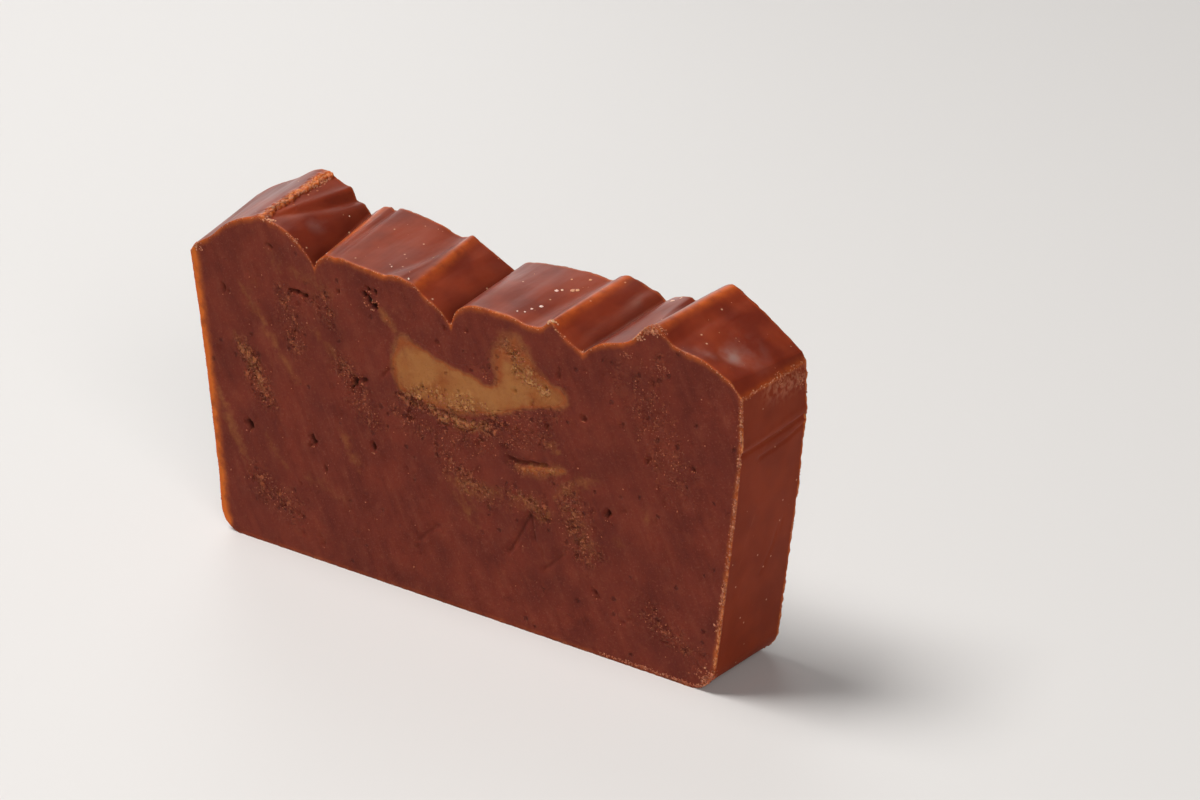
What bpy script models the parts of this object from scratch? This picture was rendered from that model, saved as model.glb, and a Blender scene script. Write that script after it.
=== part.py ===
"""A slice of chocolate fudge, cut across a moulded loaf, with a peanut-butter filling that runs
through it from cut face to cut face.

The slice stands on the loaf's flat base. X runs along the slice, Y through its thickness from the
front cut face to the back one, and Z is up. The loaf's two sides are the slice's ends. Its top was
laid on in four overlapping folds, so every cut shows four crests with sharp valleys between them.
Sizes are in millimetres, and MM turns them into metres where a mesh is made.
"""
import math

import bmesh
import bpy
from mathutils import Vector, noise

MM = 0.001
SHARP_EDGE = math.radians(30)
WHOLE_EDGE_TOLERANCE = 1e-4

# Driving dimensions of the slice
THICKNESS = 20.8
SIDE_HEIGHT = 62.0
BASE_CORNER_RADIUS = 5.0

# The cut faces wander a little where the blade dragged, and the torn grain lifts them
CUT_WANDER = 0.25
CUT_WANDER_LENGTH = 19.0
CUT_WANDER_HEIGHT = 15.0
GRAIN_LIFT = 0.18
GRAIN_SPACING = 5.0

# Each end wall leans outwards as the loaf's mould does: x at a share of the side's height
LEFT_WALL = ((0.0, -61.0), (0.2, -61.4), (0.6, -63.7), (0.85, -65.5))
RIGHT_WALL = ((0.0, 62.6), (0.2, 64.2), (0.6, 67.2), (0.85, 68.6))

# The folds of the top, left to right: x and z on the front cut face, then x and z on the back one.
# A fold runs from the end of the one before it, which is a sharp valley.
LEFT_TOP_CORNER = (-66.5, 59.6, -68.9, 62.2)
FOLDS = (
    # High fold at the left end, with a rounded back and a steep fall
    ((-65.2, 61.3, -67.4, 65.2), (-61.2, 63.7, -63.7, 67.7), (-55.8, 67.9, -56.6, 71.0),
     (-46.8, 70.6, -48.9, 74.5), (-41.8, 69.8, -44.6, 73.2), (-36.7, 66.7, -40.3, 71.2),
     (-33.6, 64.0, -36.4, 68.1)),
    # Flat fold whose free edge stands up as a straight ridge
    ((-31.6, 65.6, -33.3, 69.6), (-19.0, 66.1, -18.6, 69.6), (-11.6, 66.1, -13.7, 68.4),
     (-8.5, 65.5, -10.8, 68.8), (-6.0, 63.9, -7.3, 67.5), (-1.9, 61.8, -2.1, 65.1),
     (0.9, 59.4, 0.2, 64.2)),
    # Flat fold whose free edge curls up
    ((2.6, 62.8, 2.9, 66.2), (4.8, 64.1, 5.2, 66.8), (14.0, 64.6, 12.4, 67.6),
     (22.7, 64.0, 22.2, 67.9), (24.9, 65.5, 26.6, 68.9), (27.8, 63.6, 31.9, 68.5),
     (32.5, 61.4, 36.4, 66.4)),
    # Last fold, with a low step in front of its crest and a long fall to the right end
    ((35.9, 63.7, 38.6, 67.3), (43.5, 66.5, 42.0, 68.2), (45.8, 68.6, 44.6, 68.6),
     (49.2, 70.3, 51.2, 72.8), (53.2, 67.9, 55.8, 70.9), (60.0, 66.3, 62.0, 67.0),
     (65.7, 63.7, 67.3, 63.5)),
)
RIGHT_TOP_CORNER = (68.4, 60.8, 68.1, 61.9)

# Mesh density: steps between outline points, rows up the faces, and columns through the thickness
STEPS_PER_SPAN = 2
CORNER_ROWS = 3
WALL_ROWS = 9
FOLD_ROWS = 4
FOLD_START = 0.66
THICKNESS_COLUMNS = 7

# Peanut-butter filling on the front cut face: a sagging lens with a notch where a fold presses in
FILLING_OUTLINE = (
    (-12.3, 54.0), (-13.7, 48.0), (-12.3, 42.6), (-6.0, 41.1), (4.0, 42.2), (14.0, 45.2),
    (24.0, 48.4), (28.4, 51.2), (24.6, 55.4), (17.0, 59.0), (11.4, 58.6), (8.4, 53.6),
    (3.2, 51.8), (-4.6, 53.4),
)
FILLING_STEPS = 2
# It narrows towards the back cut face and rises with the folds
FILLING_BACK_SCALE = 0.62
FILLING_BACK_RISE = 5.0
FILLING_MIDDLE = (6.0, 50.0)
PIECE_GAP = 0.3
TUNNEL_OVERRUN = 0.1

# Air pockets cut open on the front face: x, z, width, height, depth, turn in degrees
POCKETS = (
    (-19.6, 60.4, 2.2, 4.6, 2.0, 38.0),
    (-39.0, 57.0, 4.4, 1.1, 1.2, 4.0),
    (-52.5, 25.3, 1.7, 2.2, 1.3, 20.0),
    (-35.3, 26.2, 1.5, 1.7, 1.1, 0.0),
    (-19.5, 28.8, 1.2, 1.9, 1.0, 0.0),
    (-23.6, 41.6, 3.6, 2.0, 1.2, 30.0),
    (38.1, 30.2, 1.4, 2.1, 1.1, -30.0),
    (32.8, 48.2, 1.6, 1.2, 1.0, 0.0),
    (17.6, 35.3, 6.0, 1.2, 1.1, 6.0),
)
# Crags along the filling's lower edge, where the two masses didn't knit
CRAG_START = (-13.5, 39.2)
CRAG_END = (15.0, 42.4)
CRAG_SAG = 1.0
CRAG_SIZES = (1.5, 1.9, 1.2, 1.6, 2.0, 1.1, 1.7)
POCKET_SUBDIVISIONS = 2
POCKET_LUMP = 0.22
POCKET_LUMPS_ACROSS = 3.0

FUDGE_COLOUR = (0.118, 0.026, 0.017, 1.0)
FILLING_COLOUR = (0.287, 0.092, 0.036, 1.0)


def clear_scene():
    for old in list(bpy.data.objects):
        bpy.data.objects.remove(old, do_unlink=True)


def new_collection(name):
    collection = bpy.data.collections.new(name)
    bpy.context.scene.collection.children.link(collection)
    return collection


def food_material(name, colour, roughness):
    material = bpy.data.materials.new(name)
    material.use_nodes = True
    shader = material.node_tree.nodes["Principled BSDF"]
    shader.inputs["Base Color"].default_value = colour
    shader.inputs["Roughness"].default_value = roughness
    shader.inputs["Metallic"].default_value = 0.0
    return material


def mesh_object(name, bm, collection, material=None):
    """Write a bmesh built in millimetres as an object in metres."""
    bmesh.ops.scale(bm, vec=(MM, MM, MM), verts=bm.verts[:])
    bmesh.ops.recalc_face_normals(bm, faces=bm.faces[:])
    mesh = bpy.data.meshes.new(name)
    bm.to_mesh(mesh)
    bm.free()
    mesh.shade_smooth()
    mesh.set_sharp_from_angle(angle=SHARP_EDGE)
    piece = bpy.data.objects.new(name, mesh)
    if material:
        mesh.materials.append(material)
    collection.objects.link(piece)
    return piece


def hermite(start, end, start_slope, end_slope, share):
    """Point at a share of the way along a cubic whose end slopes are given over the span."""
    square = share * share
    cube = square * share
    return (start * (2 * cube - 3 * square + 1) + start_slope * (cube - 2 * square + share)
            + end * (3 * square - 2 * cube) + end_slope * (cube - square))


def smooth_run(points, steps, closed=False):
    """Points along a smooth curve through the given ones, each span divided into steps."""
    count = len(points)
    spans = count if closed else count - 1
    lengths = [(points[(i + 1) % count] - points[i]).length for i in range(spans)]
    slopes = [(points[(i + 1) % count] - points[i]) / lengths[i] for i in range(spans)]
    tangents = []
    for i in range(count):
        if not closed and i == 0:
            tangents.append(slopes[0])
        elif not closed and i == count - 1:
            tangents.append(slopes[-1])
        else:
            before, after = lengths[i - 1], lengths[i % spans]
            tangents.append((slopes[i - 1] * after + slopes[i % spans] * before) / (before + after))
    run = []
    for i in range(spans):
        nxt = (i + 1) % count
        for step in range(steps):
            run.append(hermite(points[i], points[nxt], tangents[i] * lengths[i],
                               tangents[nxt] * lengths[i], step / steps))
    if not closed:
        run.append(points[-1])
    return run


def top_stations():
    """The top outline on both cut faces, as 4-D points (front x, front z, back x, back z)."""
    stations = [Vector(LEFT_TOP_CORNER)]
    last = Vector(LEFT_TOP_CORNER)
    for fold in FOLDS:
        run = smooth_run([last] + [Vector(point) for point in fold], STEPS_PER_SPAN)
        stations.extend(run[1:])
        last = run[-1]
    stations.append(Vector(RIGHT_TOP_CORNER))
    return stations


def height_rows():
    """Shares of the side's height: close rows round the base corner, and close rows in the folds."""
    corner_share = BASE_CORNER_RADIUS / SIDE_HEIGHT
    rows = [corner_share * i / CORNER_ROWS for i in range(CORNER_ROWS)]
    rows += [corner_share + (FOLD_START - corner_share) * i / WALL_ROWS for i in range(WALL_ROWS)]
    rows += [FOLD_START + (1 - FOLD_START) * i / FOLD_ROWS for i in range(FOLD_ROWS + 1)]
    return rows


def wall_x(wall, corner, share):
    """x of an end wall at a share of its height, ending in the top outline's corner."""
    points = wall + ((1.0, corner),)
    for (low, low_x), (high, high_x) in zip(points, points[1:]):
        if share <= high:
            return low_x + (high_x - low_x) * (share - low) / (high - low)
    return corner


def round_base_corner(x, z, left, right):
    """Swing a point near a lower corner onto the corner's radius."""
    radius = BASE_CORNER_RADIUS
    side = 1.0 if x > (left + right) / 2 else -1.0
    wall = right if side > 0 else left
    across = (side * (x - wall) + radius) / radius
    down = (radius - z) / radius
    if across <= 0 or down <= 0:
        return x, z
    reach = max(across, down)
    if across >= down:
        angle = math.pi / 4 * down / across
    else:
        angle = math.pi / 2 - math.pi / 4 * across / down
    return (wall + side * radius * (reach * math.cos(angle) - 1),
            radius - radius * reach * math.sin(angle))


def slab_point(station, share, depth):
    """Place on the slice for a top station, a share of the height and a share of the thickness."""
    front_x, front_z, back_x, back_z = station
    top_x = front_x + (back_x - front_x) * depth
    top_z = front_z + (back_z - front_z) * depth
    left_corner = LEFT_TOP_CORNER[0] + (LEFT_TOP_CORNER[2] - LEFT_TOP_CORNER[0]) * depth
    right_corner = RIGHT_TOP_CORNER[0] + (RIGHT_TOP_CORNER[2] - RIGHT_TOP_CORNER[0]) * depth
    along = (top_x - left_corner) / (right_corner - left_corner)
    left = wall_x(LEFT_WALL, left_corner, share)
    right = wall_x(RIGHT_WALL, right_corner, share)
    x = left + (right - left) * along
    fold_share = max(0.0, (share - FOLD_START) / (1 - FOLD_START))
    z = SIDE_HEIGHT * share + (top_z - SIDE_HEIGHT) * fold_share ** 2
    return round_base_corner(x, z, left, right)


def cut_relief(x, z):
    """The blade's slow wander, with the coarse grain it tore, fading out at the base."""
    wander = CUT_WANDER * math.sin(x / CUT_WANDER_LENGTH) * math.cos(z / CUT_WANDER_HEIGHT)
    grain = GRAIN_LIFT * noise.noise(Vector((x, 0.0, z)) / GRAIN_SPACING)
    return (wander + grain) * min(1.0, z / BASE_CORNER_RADIUS)


def lattice_box(columns, depths, rows):
    """A closed box whose vertices sit on whole numbers: columns, depths and rows of quads."""
    bm = bmesh.new()
    bmesh.ops.create_cube(bm, size=1.0)
    for axis, cuts in ((0, columns), (1, depths), (2, rows)):
        lines = [edge for edge in bm.edges
                 if abs(edge.verts[0].co[axis] - edge.verts[1].co[axis]) > 1 - WHOLE_EDGE_TOLERANCE]
        bmesh.ops.subdivide_edges(bm, edges=lines, cuts=cuts - 1, use_grid_fill=True)
    counts = Vector((columns, depths, rows))
    for vert in bm.verts:
        for axis in range(3):
            vert.co[axis] = round((vert.co[axis] + 0.5) * counts[axis])
    return bm


def make_fudge(collection):
    """The body: a box lattice lofted between the two cut outlines."""
    stations = top_stations()
    rows = height_rows()
    bm = lattice_box(len(stations) - 1, THICKNESS_COLUMNS, len(rows) - 1)
    for vert in bm.verts:
        column, slot, row = (int(value) for value in vert.co)
        depth = slot / THICKNESS_COLUMNS
        x, z = slab_point(stations[column], rows[row], depth)
        y = THICKNESS * (depth - 0.5)
        if slot in (0, THICKNESS_COLUMNS):
            y += cut_relief(x, z)
        vert.co = (x, y, z)
    material = food_material("chocolate fudge", FUDGE_COLOUR, 0.55)
    return mesh_object("chocolate_fudge", bm, collection, material)


def filling_ring(bm, outline, depth, grow):
    """The filling's outline at a share of the thickness, grown outwards by a gap."""
    count = len(outline)
    scale = 1 + (FILLING_BACK_SCALE - 1) * depth
    middle_x, middle_z = FILLING_MIDDLE
    ring = []
    for i, point in enumerate(outline):
        run = outline[(i + 1) % count] - outline[i - 1]
        outward = Vector((run.y, -run.x)).normalized() * grow
        x = middle_x + (point.x - middle_x) * scale + outward.x
        z = middle_z + (point.y - middle_z) * scale + FILLING_BACK_RISE * depth + outward.y
        ring.append(bm.verts.new((x, THICKNESS * (depth - 0.5), z)))
    return bm.faces.new(ring)


def filling_prism(name, collection, grow, overrun, material=None):
    """The filling's loft from cut face to cut face; an overrun carries it on past both."""
    outline = smooth_run([Vector(point) for point in FILLING_OUTLINE], FILLING_STEPS, closed=True)
    bm = bmesh.new()
    caps = [filling_ring(bm, outline, depth, grow) for depth in (-overrun, 1 + overrun)]
    rims = [edge for cap in caps for edge in cap.edges]
    bmesh.ops.bridge_loops(bm, edges=rims)
    return mesh_object(name, bm, collection, material)


def pocket_cutter(name, collection, x, z, size, turn):
    """A rough pebble whose middle lies on the front cut face."""
    bm = bmesh.new()
    bmesh.ops.create_icosphere(bm, subdivisions=POCKET_SUBDIVISIONS, radius=0.5)
    tilt = math.radians(turn)
    for vert in bm.verts:
        lump = 1 + POCKET_LUMP * noise.noise(vert.co * POCKET_LUMPS_ACROSS + Vector((x, 0.0, z)))
        across, inward, up = (vert.co[i] * size[i] * lump for i in range(3))
        vert.co = (x + across * math.cos(tilt) - up * math.sin(tilt),
                   -THICKNESS / 2 + inward,
                   z + across * math.sin(tilt) + up * math.cos(tilt))
    return mesh_object(name, bm, collection)


def make_pocket_cutters(collection):
    for index, (x, z, width, height, depth, turn) in enumerate(POCKETS):
        pocket_cutter(f"pocket_{index}", collection, x, z, (width, 2 * depth, height), turn)
    start, end = Vector(CRAG_START), Vector(CRAG_END)
    for index, size in enumerate(CRAG_SIZES):
        share = index / (len(CRAG_SIZES) - 1)
        x, z = start.lerp(end, share)
        z -= CRAG_SAG * math.sin(math.pi * share)
        pocket_cutter(f"crag_{index}", collection, x, z, (size, size, size), 0.0)


def cut_away(target, name, cutters):
    cut = target.modifiers.new(name, "BOOLEAN")
    cut.operation = "DIFFERENCE"
    cut.solver = "EXACT"
    cut.operand_type = "COLLECTION"
    cut.collection = cutters


def hide_cutters(collection):
    for cutter in collection.objects:
        cutter.hide_render = True
        cutter.display_type = "WIRE"


def build():
    clear_scene()
    slice_parts = new_collection("fudge_slice")
    tunnel = new_collection("tunnel_cutter")
    pockets = new_collection("pocket_cutters")
    fudge = make_fudge(slice_parts)
    tan = food_material("peanut butter fudge", FILLING_COLOUR, 0.65)
    filling_prism("peanut_butter_filling", slice_parts, 0.0, 0.0, tan)
    filling_prism("filling_tunnel", tunnel, PIECE_GAP, TUNNEL_OVERRUN)
    make_pocket_cutters(pockets)
    cut_away(fudge, "filling tunnel", tunnel)
    cut_away(fudge, "air pockets", pockets)
    hide_cutters(tunnel)
    hide_cutters(pockets)


build()
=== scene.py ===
# %% [markdown]
# A slice of chocolate fudge with a peanut-butter filling.
#
# The real slice was wired off a loaf. The loaf was poured into a mould, its top was laid on in four
# folds with a spatula, and a pocket of peanut-butter fudge runs through it. So the slice has three
# kinds of surface: two torn, matt cut faces, a satin top that set by itself, and end walls that took
# the mould's smoothness. This lesson builds each of them as real mesh relief first and as a material
# second. Lengths are in millimetres until a mesh is finished.

# %% Load the frame
import math
import random

import bmesh
import bpy
import numpy as np
from mathutils import Matrix, Vector, noise
from mathutils.bvhtree import BVHTree


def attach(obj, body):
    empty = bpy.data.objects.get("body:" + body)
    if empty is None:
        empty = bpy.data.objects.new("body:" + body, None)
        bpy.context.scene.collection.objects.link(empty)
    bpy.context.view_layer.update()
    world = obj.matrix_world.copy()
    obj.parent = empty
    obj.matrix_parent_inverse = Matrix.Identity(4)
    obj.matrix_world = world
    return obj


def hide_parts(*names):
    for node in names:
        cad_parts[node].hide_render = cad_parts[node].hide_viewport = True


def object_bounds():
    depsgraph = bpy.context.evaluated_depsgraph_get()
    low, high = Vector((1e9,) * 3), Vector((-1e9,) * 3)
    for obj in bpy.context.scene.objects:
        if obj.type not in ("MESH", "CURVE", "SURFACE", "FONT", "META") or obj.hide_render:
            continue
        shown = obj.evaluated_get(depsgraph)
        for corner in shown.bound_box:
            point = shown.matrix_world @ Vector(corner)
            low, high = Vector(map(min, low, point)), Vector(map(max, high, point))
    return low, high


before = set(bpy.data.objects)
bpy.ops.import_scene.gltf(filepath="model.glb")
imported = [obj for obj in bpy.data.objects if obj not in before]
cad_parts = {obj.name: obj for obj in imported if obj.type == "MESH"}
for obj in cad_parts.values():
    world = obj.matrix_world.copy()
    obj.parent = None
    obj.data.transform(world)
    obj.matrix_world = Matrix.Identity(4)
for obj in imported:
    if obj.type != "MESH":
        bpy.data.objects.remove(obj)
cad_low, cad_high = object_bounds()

MM = 0.001
print("CAD box in mm:", [round(c / MM, 1) for c in (*cad_low, *cad_high)])

# %% [markdown]
# The slice's driving sizes. They and the outlines of the two cut faces are the same values that the
# solids use, so the looks can't drift off the solids, and the looks are held within the solids' box.
# Each fold of the top is one run of points that ends in a sharp valley. A point has four numbers, its
# x and z on the front cut and its x and z on the back one.

# %% Outlines of the two cut faces
THICKNESS = 20.8
SIDE_HEIGHT = 62.0
BASE_CORNER_RADIUS = 5.0
FRONT, BACK = -THICKNESS / 2, THICKNESS / 2
LEFT_WALL = ((0.0, -61.0), (0.2, -61.4), (0.6, -63.7), (0.85, -65.5))
RIGHT_WALL = ((0.0, 62.6), (0.2, 64.2), (0.6, 67.2), (0.85, 68.6))
LEFT_TOP_CORNER = (-66.5, 59.6, -68.9, 62.2)
RIGHT_TOP_CORNER = (68.4, 60.8, 68.1, 61.9)
FOLDS = (
    ((-65.2, 61.3, -67.4, 65.2), (-61.2, 63.7, -63.7, 67.7), (-55.8, 67.9, -56.6, 71.0),
     (-46.8, 70.6, -48.9, 74.5), (-41.8, 69.8, -44.6, 73.2), (-36.7, 66.7, -40.3, 71.2),
     (-33.6, 64.0, -36.4, 68.1)),
    ((-31.6, 65.6, -33.3, 69.6), (-19.0, 66.1, -18.6, 69.6), (-11.6, 66.1, -13.7, 68.4),
     (-8.5, 65.5, -10.8, 68.8), (-6.0, 63.9, -7.3, 67.5), (-1.9, 61.8, -2.1, 65.1),
     (0.9, 59.4, 0.2, 64.2)),
    ((2.6, 62.8, 2.9, 66.2), (4.8, 64.1, 5.2, 66.8), (14.0, 64.6, 12.4, 67.6),
     (22.7, 64.0, 22.2, 67.9), (24.9, 65.5, 26.6, 68.9), (27.8, 63.6, 31.9, 68.5),
     (32.5, 61.4, 36.4, 66.4)),
    ((35.9, 63.7, 38.6, 67.3), (43.5, 66.5, 42.0, 68.2), (45.8, 68.6, 44.6, 68.6),
     (49.2, 70.3, 51.2, 72.8), (53.2, 67.9, 55.8, 70.9), (60.0, 66.3, 62.0, 67.0),
     (65.7, 63.7, 67.3, 63.5)),
)
print("points in each fold:", [len(fold) for fold in FOLDS])

# %% [markdown]
# A smooth curve goes through each run of points, and the valleys between the runs stay sharp. The
# curve is a cubic with the slopes of its neighbours, which keeps a long flat and a short curl side by
# side without a bulge between them. It is then cut into even steps, the columns of the mesh to come.

# %% Curves through the points
def smooth_run(points, steps, closed=False):
    """Points along a smooth curve through the given ones, each span divided into steps."""
    points = [np.array(point, float) for point in points]
    count = len(points)
    spans = count if closed else count - 1
    lengths = [np.linalg.norm(points[(i + 1) % count] - points[i]) for i in range(spans)]
    slopes = [(points[(i + 1) % count] - points[i]) / lengths[i] for i in range(spans)]
    tangents = []
    for i in range(count):
        if not closed and i in (0, count - 1):
            tangents.append(slopes[0 if i == 0 else -1])
        else:
            before, after = lengths[i - 1], lengths[i % spans]
            tangents.append((slopes[i - 1] * after + slopes[i % spans] * before) / (before + after))
    run = []
    for i in range(spans):
        start, end = points[i], points[(i + 1) % count]
        leave, arrive = tangents[i] * lengths[i], tangents[(i + 1) % count] * lengths[i]
        for t in np.arange(steps) / steps:
            run.append(start * (2 * t ** 3 - 3 * t ** 2 + 1) + leave * (t ** 3 - 2 * t ** 2 + t)
                       + end * (3 * t ** 2 - 2 * t ** 3) + arrive * (t ** 3 - t ** 2))
    if not closed:
        run.append(points[-1])
    return np.array(run)


def even_run(run, spacing):
    """The same curve with points at an even spacing, ends included."""
    reach = np.concatenate(([0], np.cumsum(np.linalg.norm(np.diff(run, axis=0), axis=1) / 2 ** 0.5)))
    count = max(2, math.ceil(reach[-1] / spacing) + 1)
    where = np.linspace(0, reach[-1], count)
    return np.stack([np.interp(where, reach, run[:, i]) for i in range(run.shape[1])], axis=1)


STATION_SPACING = 0.64
CORNER_SPACING = 0.3
FINE_STEPS = 14

corner = np.array([LEFT_TOP_CORNER, FOLDS[0][0]])
stations = [even_run(corner, CORNER_SPACING)]
last = FOLDS[0][0]
for number, fold in enumerate(FOLDS):
    through = fold if number == 0 else (last, *fold)
    stations.append(even_run(smooth_run(through, FINE_STEPS), STATION_SPACING)[1:])
    last = fold[-1]
stations.append(even_run(np.array([last, RIGHT_TOP_CORNER]), CORNER_SPACING)[1:])
STATIONS = np.concatenate(stations)
print("stations along the top:", len(STATIONS))

# %% [markdown]
# The top's fine form. Between the cut faces each fold has creases and raised free edges that run
# across the slice. Each is a line given by its x on the front cut, halfway and on the back cut, with
# a height (below nought for a groove), a width to its left and to its right, and how strongly it
# shows at the front and at the back. Adding them to the outlines' height is quicker to tune than
# moving vertices, and the cut faces follow it by themselves. A last number is the line's painted
# orange glow, a colour that stands in for the light coming through a thin fudge edge. The high
# fold's crest also carries a torn flap, a ramp that ends in a ragged step, with the same painted glow.

# %% Ridges, creases, dents and bubbles of the top
#     x front, middle, back; height; width left, right; strength front, back; painted glow
TOP_LINES = (
    (-46.8, -47.4, -48.2, 0.10, 2.2, 0.9, 0.6, 1.0, 0.0),     # crest of the high fold
    (-46.0, -42.2, -40.2, -1.15, 0.6, 1.4, 0.05, 1.0, 0.0),    # wrinkle in its fall
    (-47.0, -43.4, -41.4, 0.55, 0.9, 0.6, 0.05, 1.0, 0.1),
    (-40.2, -38.0, -37.6, 0.25, 1.4, 1.0, 0.5, 0.5, 0.0),
    (-33.4, -34.8, -36.2, -0.90, 0.9, 0.5, 1.0, 0.5, 0.0),    # first valley
    (-30.7, -32.0, -32.9, 0.50, 1.2, 1.1, 0.5, 0.9, 1.4),     # rolled lip of the second fold
    (-28.2, -29.3, -30.0, -0.80, 0.7, 0.9, 0.35, 1.1, 0.0),
    (-29.0, -30.0, -30.6, 0.36, 1.0, 5.5, 0.4, 1.0, 0.0),
    (-15.4, -12.6, -11.8, -1.10, 2.4, 1.0, 0.40, 0.45, 0.0),    # trough behind its free edge
    (-11.9, -11.2, -12.0, 0.20, 0.6, 0.6, 0.8, 0.3, 0.2),
    (-8.0, -9.0, -10.5, 0.45, 1.0, 1.3, 0.45, 0.7, 1.3),       # its free edge
    (0.6, 0.4, 0.2, -0.50, 0.8, 0.6, 0.4, 0.5, 0.0),          # second valley
    (19.0, 21.4, 24.0, -1.10, 2.0, 1.2, 0.24, 0.8, 0.0),       # trough behind the curled edge
    (14.2, 15.6, 18.4, 0.22, 2.2, 1.6, 0.2, 0.8, 0.0),
    (25.2, 26.2, 27.2, 0.50, 1.0, 1.4, 0.45, 0.6, 1.7),        # the curled edge
    (29.5, 30.8, 32.6, -0.50, 1.8, 1.4, 0.35, 1.0, 0.0),
    (33.0, 34.8, 36.6, -0.50, 0.9, 0.7, 0.4, 0.6, 0.0),       # third valley
    (44.8, 44.0, 43.4, -0.80, 0.8, 0.6, 0.15, 1.0, 0.0),       # step in front of the last crest
    (46.4, 46.0, 46.2, 0.38, 0.8, 1.2, 0.2, 0.8, 0.3),
    (49.2, 50.2, 51.6, 0.10, 1.2, 1.3, 0.5, 1.0, 1.4),        # the last crest
    (52.8, 53.8, 54.8, -0.30, 0.8, 1.2, 0.7, 0.6, 0.0),
)
#   x, y, radius along x, radius along y, height
TOP_SPOTS = (
    (61.0, -3.6, 3.8, 3.6, -1.00),
    (57.0, -7.8, 2.0, 1.6, -0.30),
    (55.2, -2.0, 2.2, 1.4, 0.28),
    (64.4, 4.4, 2.6, 2.6, 0.25),
    (62.5, 3.6, 0.55, 0.55, 0.32),
    (62.4, 6.7, 0.50, 0.50, 0.28),
    (54.0, 3.8, 0.60, 0.60, 0.30),
    (54.0, 0.1, 0.55, 0.50, -0.25),
    (-38.4, -2.0, 2.6, 3.4, -0.35),
    (33.5, 7.0, 1.2, 1.6, 0.30),
    (-22.0, 1.0, 6.0, 6.0, -0.25),
    (9.5, 0.0, 4.5, 7.0, 0.20),
    (38.4, 6.0, 2.2, 3.2, 0.30),
)
TOP_UNDULATION = 0.16
TOP_UNDULATION_SIZE = 7.0
FLAP_EDGE = (-45.9, -46.0, -45.9)
FLAP_WIDTH = 3.4
FLAP_HEIGHT = 0.80
FLAP_RAGGED = 0.9
print("lines across the top:", len(TOP_LINES), "and spots:", len(TOP_SPOTS))

# %% [markdown]
# The tables become a height at any place on the top. Each line is a bell across its own course, with
# a steeper side and a gentler one, and smooth noise adds the unevenness of a hand with a spatula. The
# flap's ramp is torn by faster noise.

# %% Height of the top at any place
def field(points, size, offset=0.0):
    """Smooth noise from about -1 to 1 at each point; size is the width of one lump in mm."""
    return np.array([noise.noise(place) for place in (points / size + offset).tolist()])


def line_across(front, middle, back, across):
    """x of a line across the top; across is -1 on the front cut and 1 on the back one."""
    return middle + (back - front) / 2 * across + ((front + back) / 2 - middle) * across ** 2


def top_relief(x, y):
    """Height in mm that the lines and spots add to the top at x, y, and its painted orange glow there."""
    across = y / BACK
    flat = np.stack([x, y, 0 * x], axis=1)
    height = TOP_UNDULATION * field(flat * (1, 0.5, 1), TOP_UNDULATION_SIZE)
    painted_glow = np.zeros(len(x))
    for front, middle, back, rise, left, right, front_share, back_share, shine in TOP_LINES:
        off = x - line_across(front, middle, back, across)
        share = front_share + (back_share - front_share) * (across + 1) / 2
        bell = np.exp(-(off / np.where(off < 0, left, right)) ** 2)
        height += rise * share * bell
        painted_glow = np.maximum(painted_glow, shine * share * bell)
    for spot_x, spot_y, radius_x, radius_y, rise in TOP_SPOTS:
        height += rise * np.exp(-((x - spot_x) / radius_x) ** 2 - ((y - spot_y) / radius_y) ** 2)
    tatter = field(flat * (0, 1, 0), 1.5, 4.0) + 0.5 * field(flat * (0, 1, 0), 0.6, 8.0)
    inward = line_across(*FLAP_EDGE, across) + FLAP_RAGGED * tatter - x
    flap = np.clip(inward / 0.3, 0, 1) * np.clip(1 - inward / FLAP_WIDTH, 0, 1)
    height += FLAP_HEIGHT * flap * (0.8 + 0.6 * field(flat, 0.8, 6.0))
    return height, np.maximum(painted_glow, np.clip(1.6 * flap, 0, 1))


# %% [markdown]
# The body starts as a cube whose edges are subdivided into a lattice: columns along the slice,
# layers through it and rows up it. A lattice keeps clean quads, and every vertex knows by its own
# coordinates (0 to 1 each way) which column, layer and row it is in. One function then maps those
# shares to the slice's form. Layers and rows lie closer at both ends, so that cut edges are crisp
# and the middle stays light. A quarter-round at the base corners comes from swinging the square
# corner's points onto an arc.

# %% The lattice and its mapping onto the slice
LAYERS = 32
ROWS = 94
LAYER_SQUEEZE = 0.62
ROW_SQUEEZE = 0.35
FOLD_START = 0.66


def lattice_box(columns, layers, rows):
    """A closed unit box of quads, from nought to one along each axis."""
    bm = bmesh.new()
    bmesh.ops.create_cube(bm, size=1.0, matrix=Matrix.Translation((0.5, 0.5, 0.5)))
    for axis, count in enumerate((columns, layers, rows)):
        lines = [edge for edge in bm.edges
                 if abs(edge.verts[0].co[axis] - edge.verts[1].co[axis]) > 0.999]
        bmesh.ops.subdivide_edges(bm, edges=lines, cuts=count - 1, use_grid_fill=True)
    return bm


def squeezed(share, squeeze):
    """Shares that lie closer together at both ends."""
    return share - squeeze * np.sin(2 * np.pi * share) / (2 * np.pi)


def wall_x(wall, corner_x, share):
    """x of an end wall at a share of its height; the corner's x varies through the slice."""
    heights = [height for height, _ in wall] + [1.0]
    fixed = np.interp(share, heights, [x for _, x in wall] + [0.0])
    lean = np.interp(share, heights, [0.0] * len(wall) + [1.0])
    return fixed + lean * corner_x


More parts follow.
